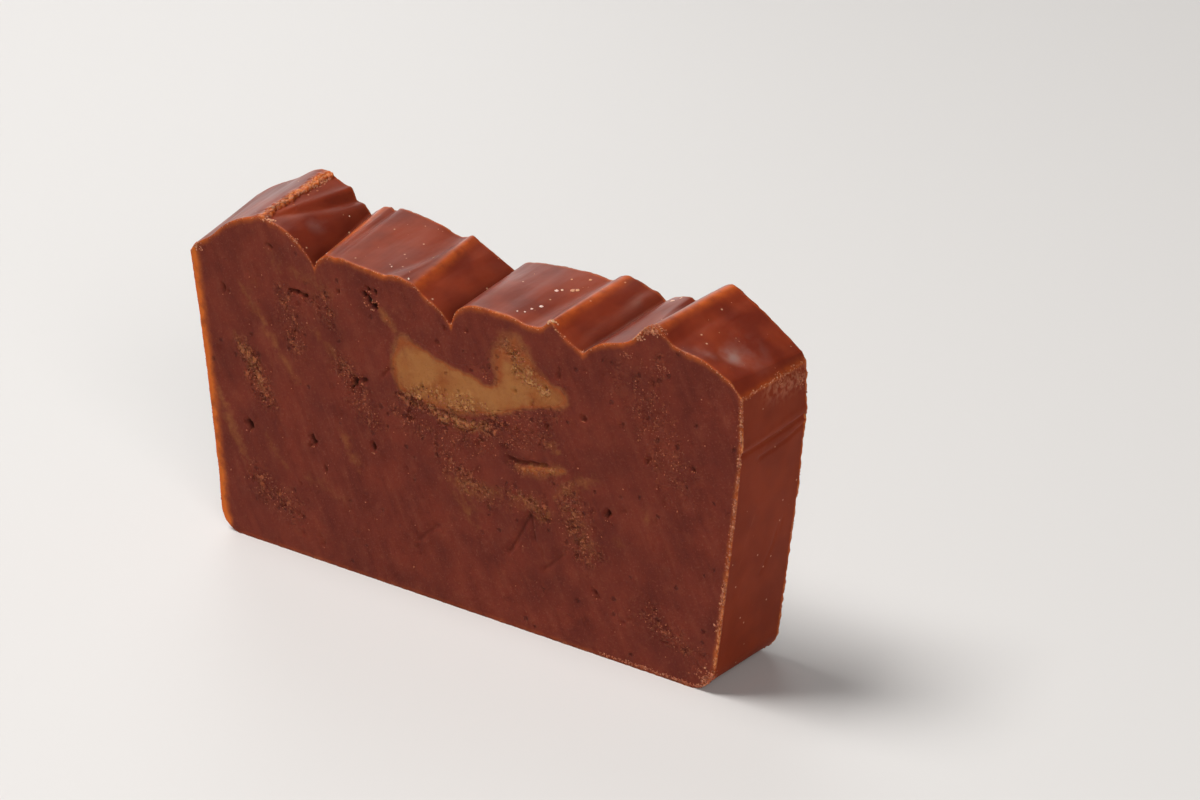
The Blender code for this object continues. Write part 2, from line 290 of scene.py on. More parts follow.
def round_base(x, z, left, right):
    """Swing the points near a lower corner onto its radius."""
    radius = BASE_CORNER_RADIUS
    side = np.where(x > 0, 1.0, -1.0)
    wall = np.where(x > 0, right, left)
    across = (side * (x - wall) + radius) / radius
    down = (radius - z) / radius
    inside = (across > 0) & (down > 0)
    reach = np.maximum(across, down)
    share = np.minimum(across, down) / np.maximum(reach, 1e-9)
    angle = np.where(across >= down, np.pi / 4 * share, np.pi / 2 - np.pi / 4 * share)
    new_x = wall + side * radius * (reach * np.cos(angle) - 1)
    new_z = radius - radius * reach * np.sin(angle)
    return np.where(inside, new_x, x), np.where(inside, new_z, z)


# %% [markdown]
# With these parts the whole mapping is one function, and everything that must know where a vertex
# lands asks it: the refining of the mesh, the marks and the burr. It also measures how far each
# vertex is from the edges, since the materials need that later and only the lattice knows it well.

# %% From lattice shares to the slice
def slice_points(shares, relieved=True):
    """Map lattice shares (column, layer, row) to places on the slice in mm.

    The second result has each place's distance to the top, the left wall and the right wall, and
    the third the painted orange glow of the top above it.
    """
    depth = squeezed(shares[:, 1], LAYER_SQUEEZE)
    share = squeezed(shares[:, 2], ROW_SQUEEZE)
    index = shares[:, 0] * (len(STATIONS) - 1)
    front_x, front_z, back_x, back_z = (
        np.interp(index, np.arange(len(STATIONS)), STATIONS[:, i]) for i in range(4))
    top_x = front_x + (back_x - front_x) * depth
    y = THICKNESS * (depth - 0.5)
    relief, painted_glow = top_relief(top_x, y) if relieved else (0.0, None)
    top_z = front_z + (back_z - front_z) * depth + relief
    left_corner = LEFT_TOP_CORNER[0] + (LEFT_TOP_CORNER[2] - LEFT_TOP_CORNER[0]) * depth
    right_corner = RIGHT_TOP_CORNER[0] + (RIGHT_TOP_CORNER[2] - RIGHT_TOP_CORNER[0]) * depth
    along = (top_x - left_corner) / (right_corner - left_corner)
    left = wall_x(LEFT_WALL, left_corner, share)
    right = wall_x(RIGHT_WALL, right_corner, share)
    x = left + (right - left) * along
    fold_share = np.clip((share - FOLD_START) / (1 - FOLD_START), 0, 1)
    z = SIDE_HEIGHT * share + (top_z - SIDE_HEIGHT) * fold_share ** 2
    distances = np.stack([top_z - z, x - left, right - x])
    x, z = round_base(x, z, left, right)
    return np.stack([x, y, z], axis=1), distances, painted_glow


# %% [markdown]
# What the wire did to the cut face. Fudge doesn't cut clean: the wire opens trapped air as pockets,
# leaves a crack where two masses didn't knit, plucks crumbs out of dry patches and drags shallow
# scratches. Pockets are ellipses pushed in, cracks and scratches are grooves along a few points, and
# dry patches are zones where rough noise is turned up. All of it is real depth, because pits that
# were only painted would vanish at the outline.

# %% Marks on the front cut face
#   x, z, width, height, depth, turn in degrees
POCKETS = (
    (-19.6, 59.6, 1.7, 2.2, 2.2, 30.0),
    (-18.4, 58.7, 1.5, 1.5, 1.9, 10.0),
    (-20.9, 60.8, 1.2, 1.5, 1.2, 0.0),
    (-19.9, 62.0, 1.5, 0.9, 1.1, 0.0),
    (-18.2, 61.8, 1.2, 1.0, 1.2, 0.0),
    (-38.9, 57.1, 3.6, 0.8, 1.1, 2.0),
    (-36.6, 56.7, 1.6, 1.0, 1.2, 0.0),
    (-45.2, 65.2, 2.0, 1.0, 0.7, -20.0),
    (-52.5, 25.3, 2.0, 2.6, 1.7, 20.0),
    (-35.3, 26.2, 1.7, 2.4, 1.5, 0.0),
    (-19.5, 28.8, 1.6, 2.2, 1.4, 0.0),
    (-24.0, 41.4, 1.6, 2.6, 1.2, -35.0),
    (-21.8, 42.4, 2.4, 1.4, 0.9, 10.0),
    (38.1, 30.2, 1.4, 2.4, 1.4, -30.0),
    (32.8, 48.2, 1.6, 1.2, 0.9, 0.0),
    (47.4, 43.5, 1.1, 1.0, 0.8, 0.0),
    (-58.0, 53.6, 1.0, 2.6, 0.8, 12.0),
    (-32.0, 20.6, 1.0, 1.3, 0.8, 0.0),
    (-27.6, 59.6, 1.0, 0.9, 0.7, 0.0),
    (57.6, 44.6, 1.5, 0.8, 0.6, -20.0),
    (35.2, 13.0, 1.2, 1.2, 0.7, 0.0),
    (15.8, 57.2, 2.6, 0.8, 0.7, 20.0),
    (17.8, 54.2, 1.6, 0.8, 0.6, -10.0),
)
#   width, depth, then points x, z
GROOVES = (
    (0.9, 1.1, ((14.4, 35.6), (17.0, 35.2), (20.0, 35.8), (23.6, 36.2))),
    (1.4, 0.75, ((14.3, 16.0), (17.0, 20.4), (19.0, 24.4))),
    (1.2, 0.60, ((20.6, 19.8), (20.0, 22.5), (19.6, 25.0))),
    (1.3, 0.55, ((-8.3, 12.0), (-6.0, 14.4), (-3.6, 16.2))),
    (1.2, 0.50, ((22.9, 14.6), (25.3, 16.7), (27.5, 18.8))),
    (0.40, 0.55, ((-12.4, 41.9), (-10.2, 41.0), (-8.0, 40.6))),
    (0.40, 0.60, ((-1.8, 41.0), (0.2, 40.6), (2.6, 40.8), (4.4, 40.4))),
    (0.35, 0.50, ((-2.6, 38.6), (1.4, 38.2), (5.6, 38.8))),
    (0.35, 0.50, ((8.4, 41.0), (10.6, 41.8))),
    (0.4, 0.4, ((-16.8, 44.4), (-15.4, 46.2), (-13.8, 46.8))),
)
#   strength in mm, width, then points x, z
DRY_ZONES = (
    (0.66, 1.5, ((-12.6, 41.6), (-8.0, 40.8), (-2.0, 40.2), (3.0, 39.5), (9.6, 40.6), (13.0, 42.6))),
    (0.24, 2.4, ((12.0, 41.4), (18.0, 43.6), (26.0, 46.8))),
    (0.26, 4.2, ((-13.0, 37.6), (0.0, 35.4), (14.0, 38.6), (24.0, 42.6))),
    (0.40, 2.2, ((-8.0, 43.6), (0.0, 43.2), (8.0, 44.2))),
    (0.58, 2.4, ((-53.2, 41.6), (-50.6, 37.6), (-47.2, 31.8))),
    (0.38, 3.4, ((-42.0, 55.0), (-39.6, 50.6), (-38.8, 45.6))),
    (0.42, 3.2, ((-31.8, 57.0), (-30.4, 53.6))),
    (0.38, 3.2, ((-27.6, 44.6), (-24.6, 42.0), (-21.8, 37.6), (-19.4, 34.6))),
    (0.38, 3.0, ((-1.4, 31.0), (2.0, 28.6), (6.0, 27.6), (9.6, 25.6))),
    (0.36, 3.0, ((14.6, 28.6), (20.0, 27.4), (23.4, 26.0))),
    (0.40, 4.4, ((28.4, 31.6), (31.0, 26.0), (33.6, 20.6))),
    (0.42, 1.8, ((14.0, 58.0), (17.6, 56.2), (19.6, 55.6))),
    (0.46, 1.6, ((17.4, 53.8), (21.0, 52.6), (24.6, 52.0))),
    (0.26, 1.4, ((8.6, 51.2), (10.8, 50.6))),
    (0.30, 1.3, ((14.6, 34.4), (20.0, 34.0), (26.4, 36.4))),
    (0.22, 2.0, ((48.6, 64.4), (50.4, 61.4))),
    (0.22, 6.0, ((44.0, 58.0), (50.0, 50.0), (54.0, 42.0))),
    (0.36, 4.0, ((-50.7, 13.8), (-46.0, 11.0), (-41.4, 9.2))),
    (0.26, 3.4, ((46.0, 12.0), (52.6, 9.0), (58.6, 6.0))),
    (0.18, 1.2, ((63.6, 4.0), (65.4, 18.0), (66.9, 34.0), (67.8, 48.0), (68.0, 58.0))),
)
DRIEST = 0.55
DRY_STRAY = 2.0
POCKET_WINDOW = 5
SMALL_POCKETS = 170
SMALL_POCKET_SEED = 4
CUT_WANDER = 0.25
CUT_WANDER_LENGTH = 19.0
CUT_WANDER_HEIGHT = 15.0
print("pockets:", len(POCKETS), "grooves:", len(GROOVES), "dry zones:", len(DRY_ZONES))

# %% [markdown]
# The tables become a depth at any place on the cut. A pocket is a steep-sided bowl with a slightly
# raised rim, pulled out of round by noise. The dry zones stray and break up, as crumbling does, and
# small pockets from a seeded generator fill the rest of the face.

# %% Depth of the cut at any place
POCKET_STEEPNESS = 0.35
POCKET_RIM_HEIGHT = 0.10
POCKET_RIM_AT = 1.35
POCKET_RIM_WIDTH = 0.3
POCKET_WOBBLE = 0.55

rng = random.Random(SMALL_POCKET_SEED)
small_pockets = []
for _ in range(SMALL_POCKETS):
    wide = rng.uniform(0.5, 1.1)
    place = (rng.uniform(-60, 63), rng.uniform(4, 60))
    small_pockets.append((*place, wide, wide * rng.uniform(0.7, 1.5), wide * 0.45, rng.uniform(-40, 40)))


def distance_to_path(x, z, path):
    """Distance from each point to a path of straight stretches."""
    nearest = np.full(len(x), 1e9)
    for (x0, z0), (x1, z1) in zip(path, path[1:]):
        run_x, run_z = x1 - x0, z1 - z0
        t = np.clip(((x - x0) * run_x + (z - z0) * run_z) / (run_x ** 2 + run_z ** 2), 0, 1)
        nearest = np.minimum(nearest, np.hypot(x - x0 - t * run_x, z - z0 - t * run_z))
    return nearest


def pocket_depth(x, z, pockets, wobble):
    """Depth of the air pockets at each point, in mm, with a slightly raised, torn rim."""
    depth = np.zeros(len(x))
    for pocket_x, pocket_z, width, height, deep, turn in pockets:
        near = np.flatnonzero((abs(x - pocket_x) < POCKET_WINDOW) & (abs(z - pocket_z) < POCKET_WINDOW))
        tilt = math.radians(turn)
        off_x, off_z = x[near] - pocket_x, z[near] - pocket_z
        across = (off_x * math.cos(tilt) + off_z * math.sin(tilt)) / (width / 2)
        up = (off_z * math.cos(tilt) - off_x * math.sin(tilt)) / (height / 2)
        reach = np.hypot(across, up) * (1 + POCKET_WOBBLE * wobble[near])
        bowl = deep * np.clip(1 - reach ** 2, 0, 1) ** POCKET_STEEPNESS
        rim = -POCKET_RIM_HEIGHT * deep * np.exp(-((reach - POCKET_RIM_AT) / POCKET_RIM_WIDTH) ** 2)
        depth[near] = np.maximum(depth[near], bowl) + rim
    return depth


def dry_share(x, z):
    """How dry and crumbly the cut face is at each point, in mm of roughness."""
    rough = np.zeros(len(x))
    flat = np.stack([x, 0 * x, z], axis=1)
    x, z = x + DRY_STRAY * field(flat, 3.2, 31.0), z + DRY_STRAY * field(flat, 3.2, 37.0)
    patchy = np.clip(0.75 + 0.9 * field(flat, 2.2, 43.0) + 0.5 * field(flat, 1.0, 47.0), 0.1, 1.25)
    for strength, width, path in DRY_ZONES:
        rough = np.maximum(rough, strength * np.exp(-(distance_to_path(x, z, path) / width) ** 2))
    return rough * patchy


def cut_relief(points, marked):
    """How far the cut face is pushed into the slice at each point, in mm."""
    x, z = points[:, 0], points[:, 2]
    flat = np.stack([x, 0 * x, z], axis=1)
    depth = CUT_WANDER * np.sin(x / CUT_WANDER_LENGTH) * np.cos(z / CUT_WANDER_HEIGHT)
    depth += 0.10 * field(flat, 4.5) + 0.05 * field(flat, 1.6, 7.0)
    coarse = field(flat, 1.15, 3.0)
    crumble = np.abs(coarse) * 1.6 - 0.35 + 0.6 * field(flat, 0.7, 5.0)
    if marked:
        depth += dry_share(x, z) * crumble
        depth += pocket_depth(x, z, POCKETS + tuple(small_pockets), coarse)
        for width, deep, path in GROOVES:
            off = distance_to_path(x, z, path) * (1 + 0.3 * coarse)
            depth += deep * np.exp(-(off / width * 2) ** 2)
    else:
        depth += 0.10 * crumble
        turned_about = tuple((-pocket_x, *rest) for pocket_x, *rest in small_pockets)
        depth += pocket_depth(x, z, turned_about, coarse)
    return depth * np.clip(z / BASE_CORNER_RADIUS, 0, 1)


# %% [markdown]
# The mesh is only as fine as it must be. Where a pocket, groove or dry patch lies, the lattice's
# edges are split once more before the marks are pressed in, and so are they on the right end and
# along the top's sharp lines. The new vertices get their place from the same mapping, because the
# split happens while the lattice is still a plain unit box.

# %% Build the body
MARK_MARGIN = 1.2
#   x on the front cut and on the back one, half-width of the band of top that gets a finer mesh
TOP_BANDS = ((-46.4, -46.8, 2.6), (-31.2, -33.2, 2.0), (-9.4, -11.4, 2.4), (24.6, 26.6, 2.4),
             (48.0, 49.6, 3.0))
FINEST_BAND = TOP_BANDS[0]


def marks_near(shares, places):
    """True where the front cut face has a mark that the plain lattice is too coarse for."""
    x, z = places[:, 0], places[:, 2]
    fine = (dry_share(x, z) > 0.14) | ((x > -15) & (x < 30) & (z > 40.5) & (z < 62))
    for pocket_x, pocket_z, width, height, _, _ in POCKETS:
        fine |= np.hypot(x - pocket_x, z - pocket_z) < max(width, height) / 2 + MARK_MARGIN
    for width, _, path in GROOVES:
        fine |= distance_to_path(x, z, path) < width + MARK_MARGIN / 2
    return fine & (shares[:, 1] < 1e-6)


def in_bands(shares, places, bands):
    """True on the top where a band of it has a sharp form."""
    fine = np.zeros(len(shares), bool)
    for front, back, half_width in bands:
        middle = front + (back - front) * (places[:, 1] / THICKNESS + 0.5)
        fine |= abs(places[:, 0] - middle) < half_width
    return fine & (shares[:, 2] > 1 - 1e-6)


def on_right_end(shares, places):
    """True on the right end wall, whose creases and scratches need a finer mesh."""
    return shares[:, 0] > 1 - 1e-6


def vertex_array(bm):
    return np.array([vert.co for vert in bm.verts], float)


def refine(bm, wanted, *details):
    """Split each edge of the unit box whose two ends both want it."""
    shares = vertex_array(bm)
    chosen = wanted(shares, slice_points(shares, relieved=False)[0], *details)
    bm.verts.index_update()
    split = [edge for edge in bm.edges if all(chosen[vert.index] for vert in edge.verts)]
    bmesh.ops.subdivide_edges(bm, edges=split, cuts=1, use_grid_fill=True)


body_bm = lattice_box(len(STATIONS) - 1, LAYERS, ROWS)
plain_faces = len(body_bm.faces)
refine(body_bm, marks_near)
refine(body_bm, on_right_end)
refine(body_bm, in_bands, TOP_BANDS)
refine(body_bm, in_bands, (FINEST_BAND,))
print("lattice quads:", plain_faces, "after splitting:", len(body_bm.faces))

# %% [markdown]
# Edges of a real slice are never ruled lines. The wire leaves a burr: a ragged crest that stands a
# few tenths of a millimetre proud, thickest low down on the right where it left the loaf. The burr
# is a push along the edge's outward direction that follows noise along the edge. Each vertex also
# keeps measures for the materials: its burr, its painted orange glow that stands in for light coming
# through thin fudge, how deep it lies in a pocket, which sets a painted shade there, how dry it is,
# how much painted shade it gets near a valley of the top, whether it lies in the scrape high on the
# right end, and how much painted greyish sheen, a painted reflection of the room, it gets on the top.

# %% Shape the body
EDGE_REACH = 0.9
BURR_PROUD = 0.28
BOX_SLACK = 0.15
#   how ragged the burr is: along the top, the left wall, the right wall and the base
BURR_STRENGTH = (0.45, 0.35, 0.9, 0.5)
#     how far in from each of those edges the painted orange glow reaches, in mm, and how strong it is
PAINTED_GLOW_REACH = (0.95, 1.6, 0.75, 0.8)
PAINTED_GLOW_STRENGTH = (0.62, 1.4, 0.60, 0.26)
FACE_REACH = 0.4
# strength of the painted orange glow along the top's thin lines
PAINTED_LINE_GLOW = 0.85
LINE_REACH = 0.6
FALL_DIMS = 0.55
#   x at which the burr is thickest, and how far that reaches along the base and up the right edge
THICKEST_AT = 62
THICKEST_REACH = 16
FLAP_BURR = 0.6
WALL_WAVER = 0.07
#   depth, width, then points y, z on the right end wall
END_MARKS = (
    (0.38, 0.50, ((-10.4, 49.8), (-3.0, 50.1), (3.0, 50.4), (10.4, 51.2))),
    (0.26, 0.40, ((-4.0, 47.4), (1.0, 47.7), (5.0, 48.2), (10.4, 49.4))),
    (-0.20, 0.60, ((-10.4, 51.2), (-3.0, 51.5), (10.4, 52.6))),
    (0.16, 0.26, ((5.1, 30.4), (3.9, 26.3), (1.0, 21.5))),
    (0.14, 0.24, ((6.4, 31.0), (5.6, 28.6))),
    (-0.22, 1.30, ((-2.0, 58.6), (10.4, 59.6))),
)
SCRAPE = ((-1.0, 60.2), (3.0, 59.4), (10.4, 59.6))
SCRAPE_REACH = 2.2
#   x of each valley on the front cut and on the back one
VALLEYS = ((-33.4, -36.2), (0.6, 0.2), (33.0, 36.6))
# how far before each valley the top's painted shade reaches, in mm
VALLEY_SHADE_REACH = 4.0
#     x, y, radius along x, radius along y and strength of each painted reflection, a greyish sheen on the
#     top
PAINTED_SHEENS = ((61.4, -3.6, 2.2, 2.0, 1.00), (62.6, -0.6, 5.0, 4.6, 0.36), (58.0, -7.6, 3.0, 1.4, 0.40),
          (-39.0, -3.0, 2.0, 3.0, 0.35))

shares = vertex_array(body_bm)
places, (to_top, to_left, to_right), painted_glow = slice_points(shares)
column, layer, row = shares.T
on_front, on_back = layer < 1e-6, layer > 1 - 1e-6
on_right = (column > 1 - 1e-6) & (row < 1 - 1e-6)
on_wall = (column < 1e-6) | (column > 1 - 1e-6)
depth_share = squeezed(layer, LAYER_SQUEEZE)
to_face = THICKNESS * np.minimum(depth_share, 1 - depth_share)
edges = (to_top, to_left, to_right, places[:, 2])


def closeness(distance, reach):
    """One on the edge, about a third at the reach, and next to nought at twice the reach."""
    return np.exp(-(distance / reach) ** 2)


# an edge that falls to the right is turned from the main light, so its painted glow is weaker
stations_x, stations_z = STATIONS[:, 0], STATIONS[:, 1]
falls = np.clip(-np.gradient(stations_z) / np.maximum(np.gradient(stations_x), 0.05), 0, 0.8) / 0.8
glow_dimming = 1 - FALL_DIMS * np.interp(column, np.linspace(0, 1, len(STATIONS)), falls)

burr = np.zeros(len(shares))
# painted orange glow: colour that stands in for light coming through thin fudge near the edges
rim = PAINTED_LINE_GLOW * painted_glow * closeness(to_top, LINE_REACH)
for distance, strength, reach, shine in zip(edges, BURR_STRENGTH, PAINTED_GLOW_REACH, PAINTED_GLOW_STRENGTH):
    near = closeness(distance, EDGE_REACH * 0.5) * closeness(to_face, EDGE_REACH * 0.4)
    burr = np.maximum(burr, strength * near)
    shine = shine * (glow_dimming if distance is to_top else 1.0)
    rim = np.maximum(rim, shine * closeness(distance, reach) * closeness(to_face, FACE_REACH))
# painted orange glow along the top edge of the right end
rim = np.maximum(rim, 0.5 * closeness(to_top, 0.45) * closeness(to_right, 0.6))
thickest = closeness(places[:, 0] - THICKEST_AT, THICKEST_REACH) * closeness(places[:, 2], THICKEST_REACH)
ragged = np.clip(0.45 + 1.0 * field(places, 1.3, 11.0) + 0.5 * field(places, 3.7, 2.0), 0, 1.4)
burr *= ragged * (1 + 0.6 * thickest)
# the torn flap is as flaky as a burr
on_flap = closeness(to_top, LINE_REACH) * closeness(places[:, 0] - FLAP_EDGE[1] + 1.2, 1.8)
burr = np.maximum(burr, FLAP_BURR * painted_glow * on_flap)
print("vertices with a burr:", int((burr > 0.1).sum()))

# %% [markdown]
# Now the relief is applied. The cut faces are pressed in by their marks and pushed out by the burr,
# the right end gets its creases, and all of it is kept within a hair of the solids' box. The masks
# of the painted valley shade, the painted greyish sheen and the scrape are taken on the way, while
# each vertex still knows its distances.

# %% Press in the marks and push out the burr
pressed = np.zeros(len(shares))
pressed[on_front] = cut_relief(places[on_front], True)
pressed[on_back] = cut_relief(places[on_back], False)
inward = np.where(on_front, 1.0, -1.0)
on_cut = on_front | on_back
dry = np.where(on_front, dry_share(places[:, 0], places[:, 2]) / DRIEST, 0.0)
end_depth = np.zeros(len(shares))
for depth, width, path in END_MARKS:
    off = distance_to_path(places[:, 1], places[:, 2], path)
    end_depth += np.where(on_right, depth * np.exp(-(off / width) ** 2), 0.0)
# painted shade on the top as it falls into each valley, where less light gets down
valley_shade = np.zeros(len(shares))
for front, back in VALLEYS:
    before = front + (back - front) * depth_share - places[:, 0]
    valley_shade = np.maximum(valley_shade, np.where(before > -0.6, closeness(before, VALLEY_SHADE_REACH), 0.0))
# painted reflection: a greyish sheen on the top where the room would show
painted_sheen = np.zeros(len(shares))
for sheen_x, sheen_y, radius_x, radius_y, strength in PAINTED_SHEENS:
    near = closeness(places[:, 0] - sheen_x, radius_x) * closeness(places[:, 1] - sheen_y, radius_y)
    painted_sheen = np.maximum(painted_sheen, strength * near)
to_scrape = distance_to_path(places[:, 1], places[:, 2], SCRAPE)
scrape = np.where(on_right, closeness(to_scrape, SCRAPE_REACH), 0.0)

places[:, 1] += np.where(on_cut, inward * (pressed - BURR_PROUD * burr), 0.0)
outward_x = closeness(to_right, EDGE_REACH) - closeness(to_left, EDGE_REACH)
places[:, 0] += 0.5 * BURR_PROUD * burr * outward_x - end_depth
places[:, 2] += 0.5 * BURR_PROUD * burr * closeness(to_top, EDGE_REACH)
places[:, 0] += np.where(on_wall, WALL_WAVER * field(places, (9.0, 4.0, 9.0), 1.0), 0.0)
places[:, 2] = np.maximum(places[:, 2], 0.0)
box_low, box_high = np.array(cad_low) / MM, np.array(cad_high) / MM
places = np.clip(places, box_low - BOX_SLACK, box_high + BOX_SLACK)
print("deepest mark in mm:", round(float(pressed.max()), 2))

# %% [markdown]
# Three materials share the body, so each face remembers which surface it belongs to: the two cut
# faces, the top, or the walls and base. That is read from the lattice, where a face of the front has
# all its vertices in layer nought.

# %% Write the body's mesh
CUT, TOP, WALL = range(3)
SURFACES = ("wire-cut chocolate fudge", "air-set satin fudge skin", "moulded fudge wall")
for vert, place in zip(body_bm.verts, places):
    vert.co = place * MM
body_bm.verts.index_update()
for face in body_bm.faces:
    corners = [vert.index for vert in face.verts]
    if all(on_front[corners]) or all(on_back[corners]):
        face.material_index = CUT
    elif all(row[corners] > 1 - 1e-6):
        face.material_index = TOP
    else:
        face.material_index = WALL
    face.smooth = True
# rim holds the painted orange glow, and the pocket depth is kept to paint shade into pockets
for name, values in (("burr", burr), ("rim", rim), ("pocket_shade", np.clip(pressed, 0, 2)), ("dry", dry),
                     ("scrape", scrape), ("painted_sheen", painted_sheen), ("valley_shade", valley_shade)):
    data = body_bm.verts.layers.float.new(name)
    for vert, value in zip(body_bm.verts, values):
        vert[data] = float(value)
bmesh.ops.recalc_face_normals(body_bm, faces=body_bm.faces[:])


def new_object(name, bm):
    mesh = bpy.data.meshes.new(name)
    bm.to_mesh(mesh)
    bm.free()
    piece = bpy.data.objects.new(name, mesh)
    bpy.context.scene.collection.objects.link(piece)
    return piece


body = new_object("fudge_body", body_bm)
for name in SURFACES:
    body.data.materials.append(bpy.data.materials.new(name))
print("body faces:", len(body.data.polygons))

# %% [markdown]
# The filling is a sagging lens on the front cut, and a smaller, higher one on the back cut. Its
# outline gets a torn edge from noise. One prism goes through both outlines, a little longer than the
# slice is thick, so that it is ready to cut with.

# %% Prism of the filling
FILLING_OUTLINE = (
    (-12.3, 54.0), (-13.7, 48.0), (-12.3, 42.6), (-6.0, 41.1), (4.0, 42.2), (14.0, 45.2),
    (24.0, 48.4), (28.4, 51.2), (24.6, 55.4), (17.0, 59.0), (11.4, 58.6), (8.4, 53.6),
    (3.2, 51.8), (-4.6, 53.4),
)
FILLING_STEPS = 8
FILLING_BACK_SCALE = 0.62
FILLING_BACK_RISE = 5.0
FILLING_MIDDLE = np.array((6.0, 50.0))
FILLING_OVERRUN = 0.15
TORN_EDGE = 0.45
TORN_EDGE_SIZE = 1.8


def filling_outline(depth):
    """Outline of the filling at a share of the thickness, with its torn edge."""
    outline = smooth_run(FILLING_OUTLINE, FILLING_STEPS, closed=True)
    run = np.roll(outline, -1, axis=0) - np.roll(outline, 1, axis=0)
    outward = np.stack([run[:, 1], -run[:, 0]], axis=1) / np.linalg.norm(run, axis=1)[:, None]
    flat = np.stack([outline[:, 0], 0 * outline[:, 0] + 4 * depth, outline[:, 1]], axis=1)
    torn = TORN_EDGE * field(flat, TORN_EDGE_SIZE, 9.0)
    scale = 1 + (FILLING_BACK_SCALE - 1) * depth
    placed = FILLING_MIDDLE + (outline + outward * torn[:, None] - FILLING_MIDDLE) * scale
    placed[:, 1] += FILLING_BACK_RISE * depth
    return placed


prism_bm = bmesh.new()
rings = []
for depth in (-FILLING_OVERRUN, 1 + FILLING_OVERRUN):
    y = THICKNESS * (depth - 0.5)
    ring = [prism_bm.verts.new((x * MM, y * MM, z * MM)) for x, z in filling_outline(depth)]
    rings.append(prism_bm.faces.new(ring))
rims = [edge for ring in rings for edge in ring.edges]
bmesh.ops.bridge_loops(prism_bm, edges=rims)
bmesh.ops.recalc_face_normals(prism_bm, faces=prism_bm.faces[:])
prism = new_object("filling_prism", prism_bm)
prism.data.materials.append(body.data.materials[CUT])
print("prism faces:", len(prism.data.polygons))

# %% [markdown]
# Rather than modelling two fitting surfaces, the prism cuts the body twice: what is left outside
# stays chocolate, and what is inside becomes the filling. Both cut surfaces then carry the very same
# relief, as they would under one wire.

# %% Cut the filling out of the body
def solid_cut(piece, cutter, operation):
    """Apply a Boolean and keep the result in the piece's own mesh."""
    cut = piece.modifiers.new("cut", "BOOLEAN")
    cut.operation = operation
    cut.object = cutter
    cut.solver = "MANIFOLD"
    graph = bpy.context.evaluated_depsgraph_get()
    result = bpy.data.meshes.new_from_object(piece.evaluated_get(graph))
    piece.modifiers.clear()
    old = piece.data
    piece.data = result
    bpy.data.meshes.remove(old)


filling = bpy.data.objects.new("peanut_butter_core", body.data.copy())
bpy.context.scene.collection.objects.link(filling)
solid_cut(filling, prism, "INTERSECT")
solid_cut(body, prism, "DIFFERENCE")
bpy.data.objects.remove(prism)
print("body faces:", len(body.data.polygons), "filling faces:", len(filling.data.polygons))
print("body attributes:", [a.name for a in body.data.attributes])

# %% [markdown]
# Marbling. Where the two fudges were stirred together, tan streaks lie in the chocolate and a brown
# haze lies in the tan. It is colour and no relief, so it is painted as an attribute, a share of tan
# from nought to one at each vertex. The same function paints both pieces, so the streaks and the haze
# run on across the border between them. Deeper in than a few millimetres each piece keeps its own
# plain share.

# %% Streaks and the outline of the tan
#   strength, width, then points x, z on the front cut face
STREAKS = (
    (0.34, 1.9, ((-55.1, 44.4), (-52.6, 41.6), (-50.2, 37.6), (-48.0, 33.4))),
    (0.15, 1.3, ((-49.4, 57.4), (-51.0, 53.0))),
    (0.28, 1.4, ((-53.4, 55.4), (-47.7, 48.6), (-43.5, 43.2), (-38.8, 37.6))),
    (0.24, 1.3, ((-35.6, 50.8), (-31.2, 47.8), (-26.4, 43.4))),
    (0.34, 1.7, ((-61.6, 32.6), (-57.6, 24.6), (-53.4, 16.6))),
    (0.22, 1.2, ((-48.8, 26.1), (-45.5, 21.1), (-42.1, 17.8))),
    (0.32, 1.4, ((-27.8, 30.5), (-25.1, 25.8), (-22.8, 22.6))),
    (0.20, 2.6, ((-40.2, 61.6), (-34.1, 59.8), (-28.6, 58.2))),
    (0.20, 1.8, ((-45.4, 64.6), (-42.4, 60.4))),
    (0.50, 1.1, ((-17.6, 59.2), (-14.8, 56.6), (-13.0, 54.4))),
    (0.95, 1.0, ((17.0, 34.2), (21.3, 34.4), (25.0, 35.4), (28.2, 36.6))),
    (0.62, 1.2, ((-4.6, 40.6), (0.0, 39.6), (4.0, 39.4), (9.6, 40.8))),
    (0.34, 1.0, ((-11.4, 41.4), (-7.0, 40.8))),
    (0.34, 2.0, ((-1.0, 27.6), (4.0, 26.6), (9.6, 26.8), (13.0, 27.6))),
    (0.24, 2.2, ((1.4, 26.6), (3.6, 23.6), (6.4, 20.6))),
    (0.32, 2.2, ((15.2, 27.4), (20.0, 27.4), (23.4, 25.6))),
    (0.22, 3.0, ((28.6, 30.6), (31.0, 25.4), (34.6, 20.0))),
    (0.32, 1.3, ((25.6, 30.1), (31.1, 34.4), (36.2, 36.8))),
    (0.36, 1.4, ((21.0, 24.8), (25.4, 27.0))),
    (0.40, 1.1, ((24.0, 41.0), (27.2, 39.8))),
    (0.20, 1.6, ((0.2, 25.0), (4.7, 20.6), (7.2, 18.2))),
    (0.18, 2.0, ((-38.5, 17.9), (-31.5, 16.9), (-25.5, 14.9))),
    (0.20, 1.6, ((46.6, 33.6), (48.4, 30.2))),
    (0.22, 1.6, ((39.6, 25.8), (42.0, 24.2))),
)
#   x, z round the tan on the front cut, which doesn't quite fill the pale paste's own outline
TAN_OUTLINE = (
    (-12.6, 51.6), (-11.5, 53.9), (-9.0, 53.3), (-5.6, 52.3), (2.5, 50.4), (6.7, 49.9), (10.4, 48.9),
    (12.4, 50.6), (11.9, 54.0), (12.2, 57.4), (14.2, 60.2), (17.2, 60.2), (19.2, 58.0), (21.2, 55.6),
    (24.8, 53.2), (28.6, 51.6), (28.2, 50.0), (22.4, 48.2), (16.8, 46.2), (11.7, 43.8), (7.8, 43.0),
    (3.4, 42.2), (-1.4, 41.7), (-5.9, 41.9), (-10.4, 42.6), (-12.9, 44.1), (-13.7, 47.1), (-13.5, 50.4),
)
TAN_SOFTNESS = 0.62
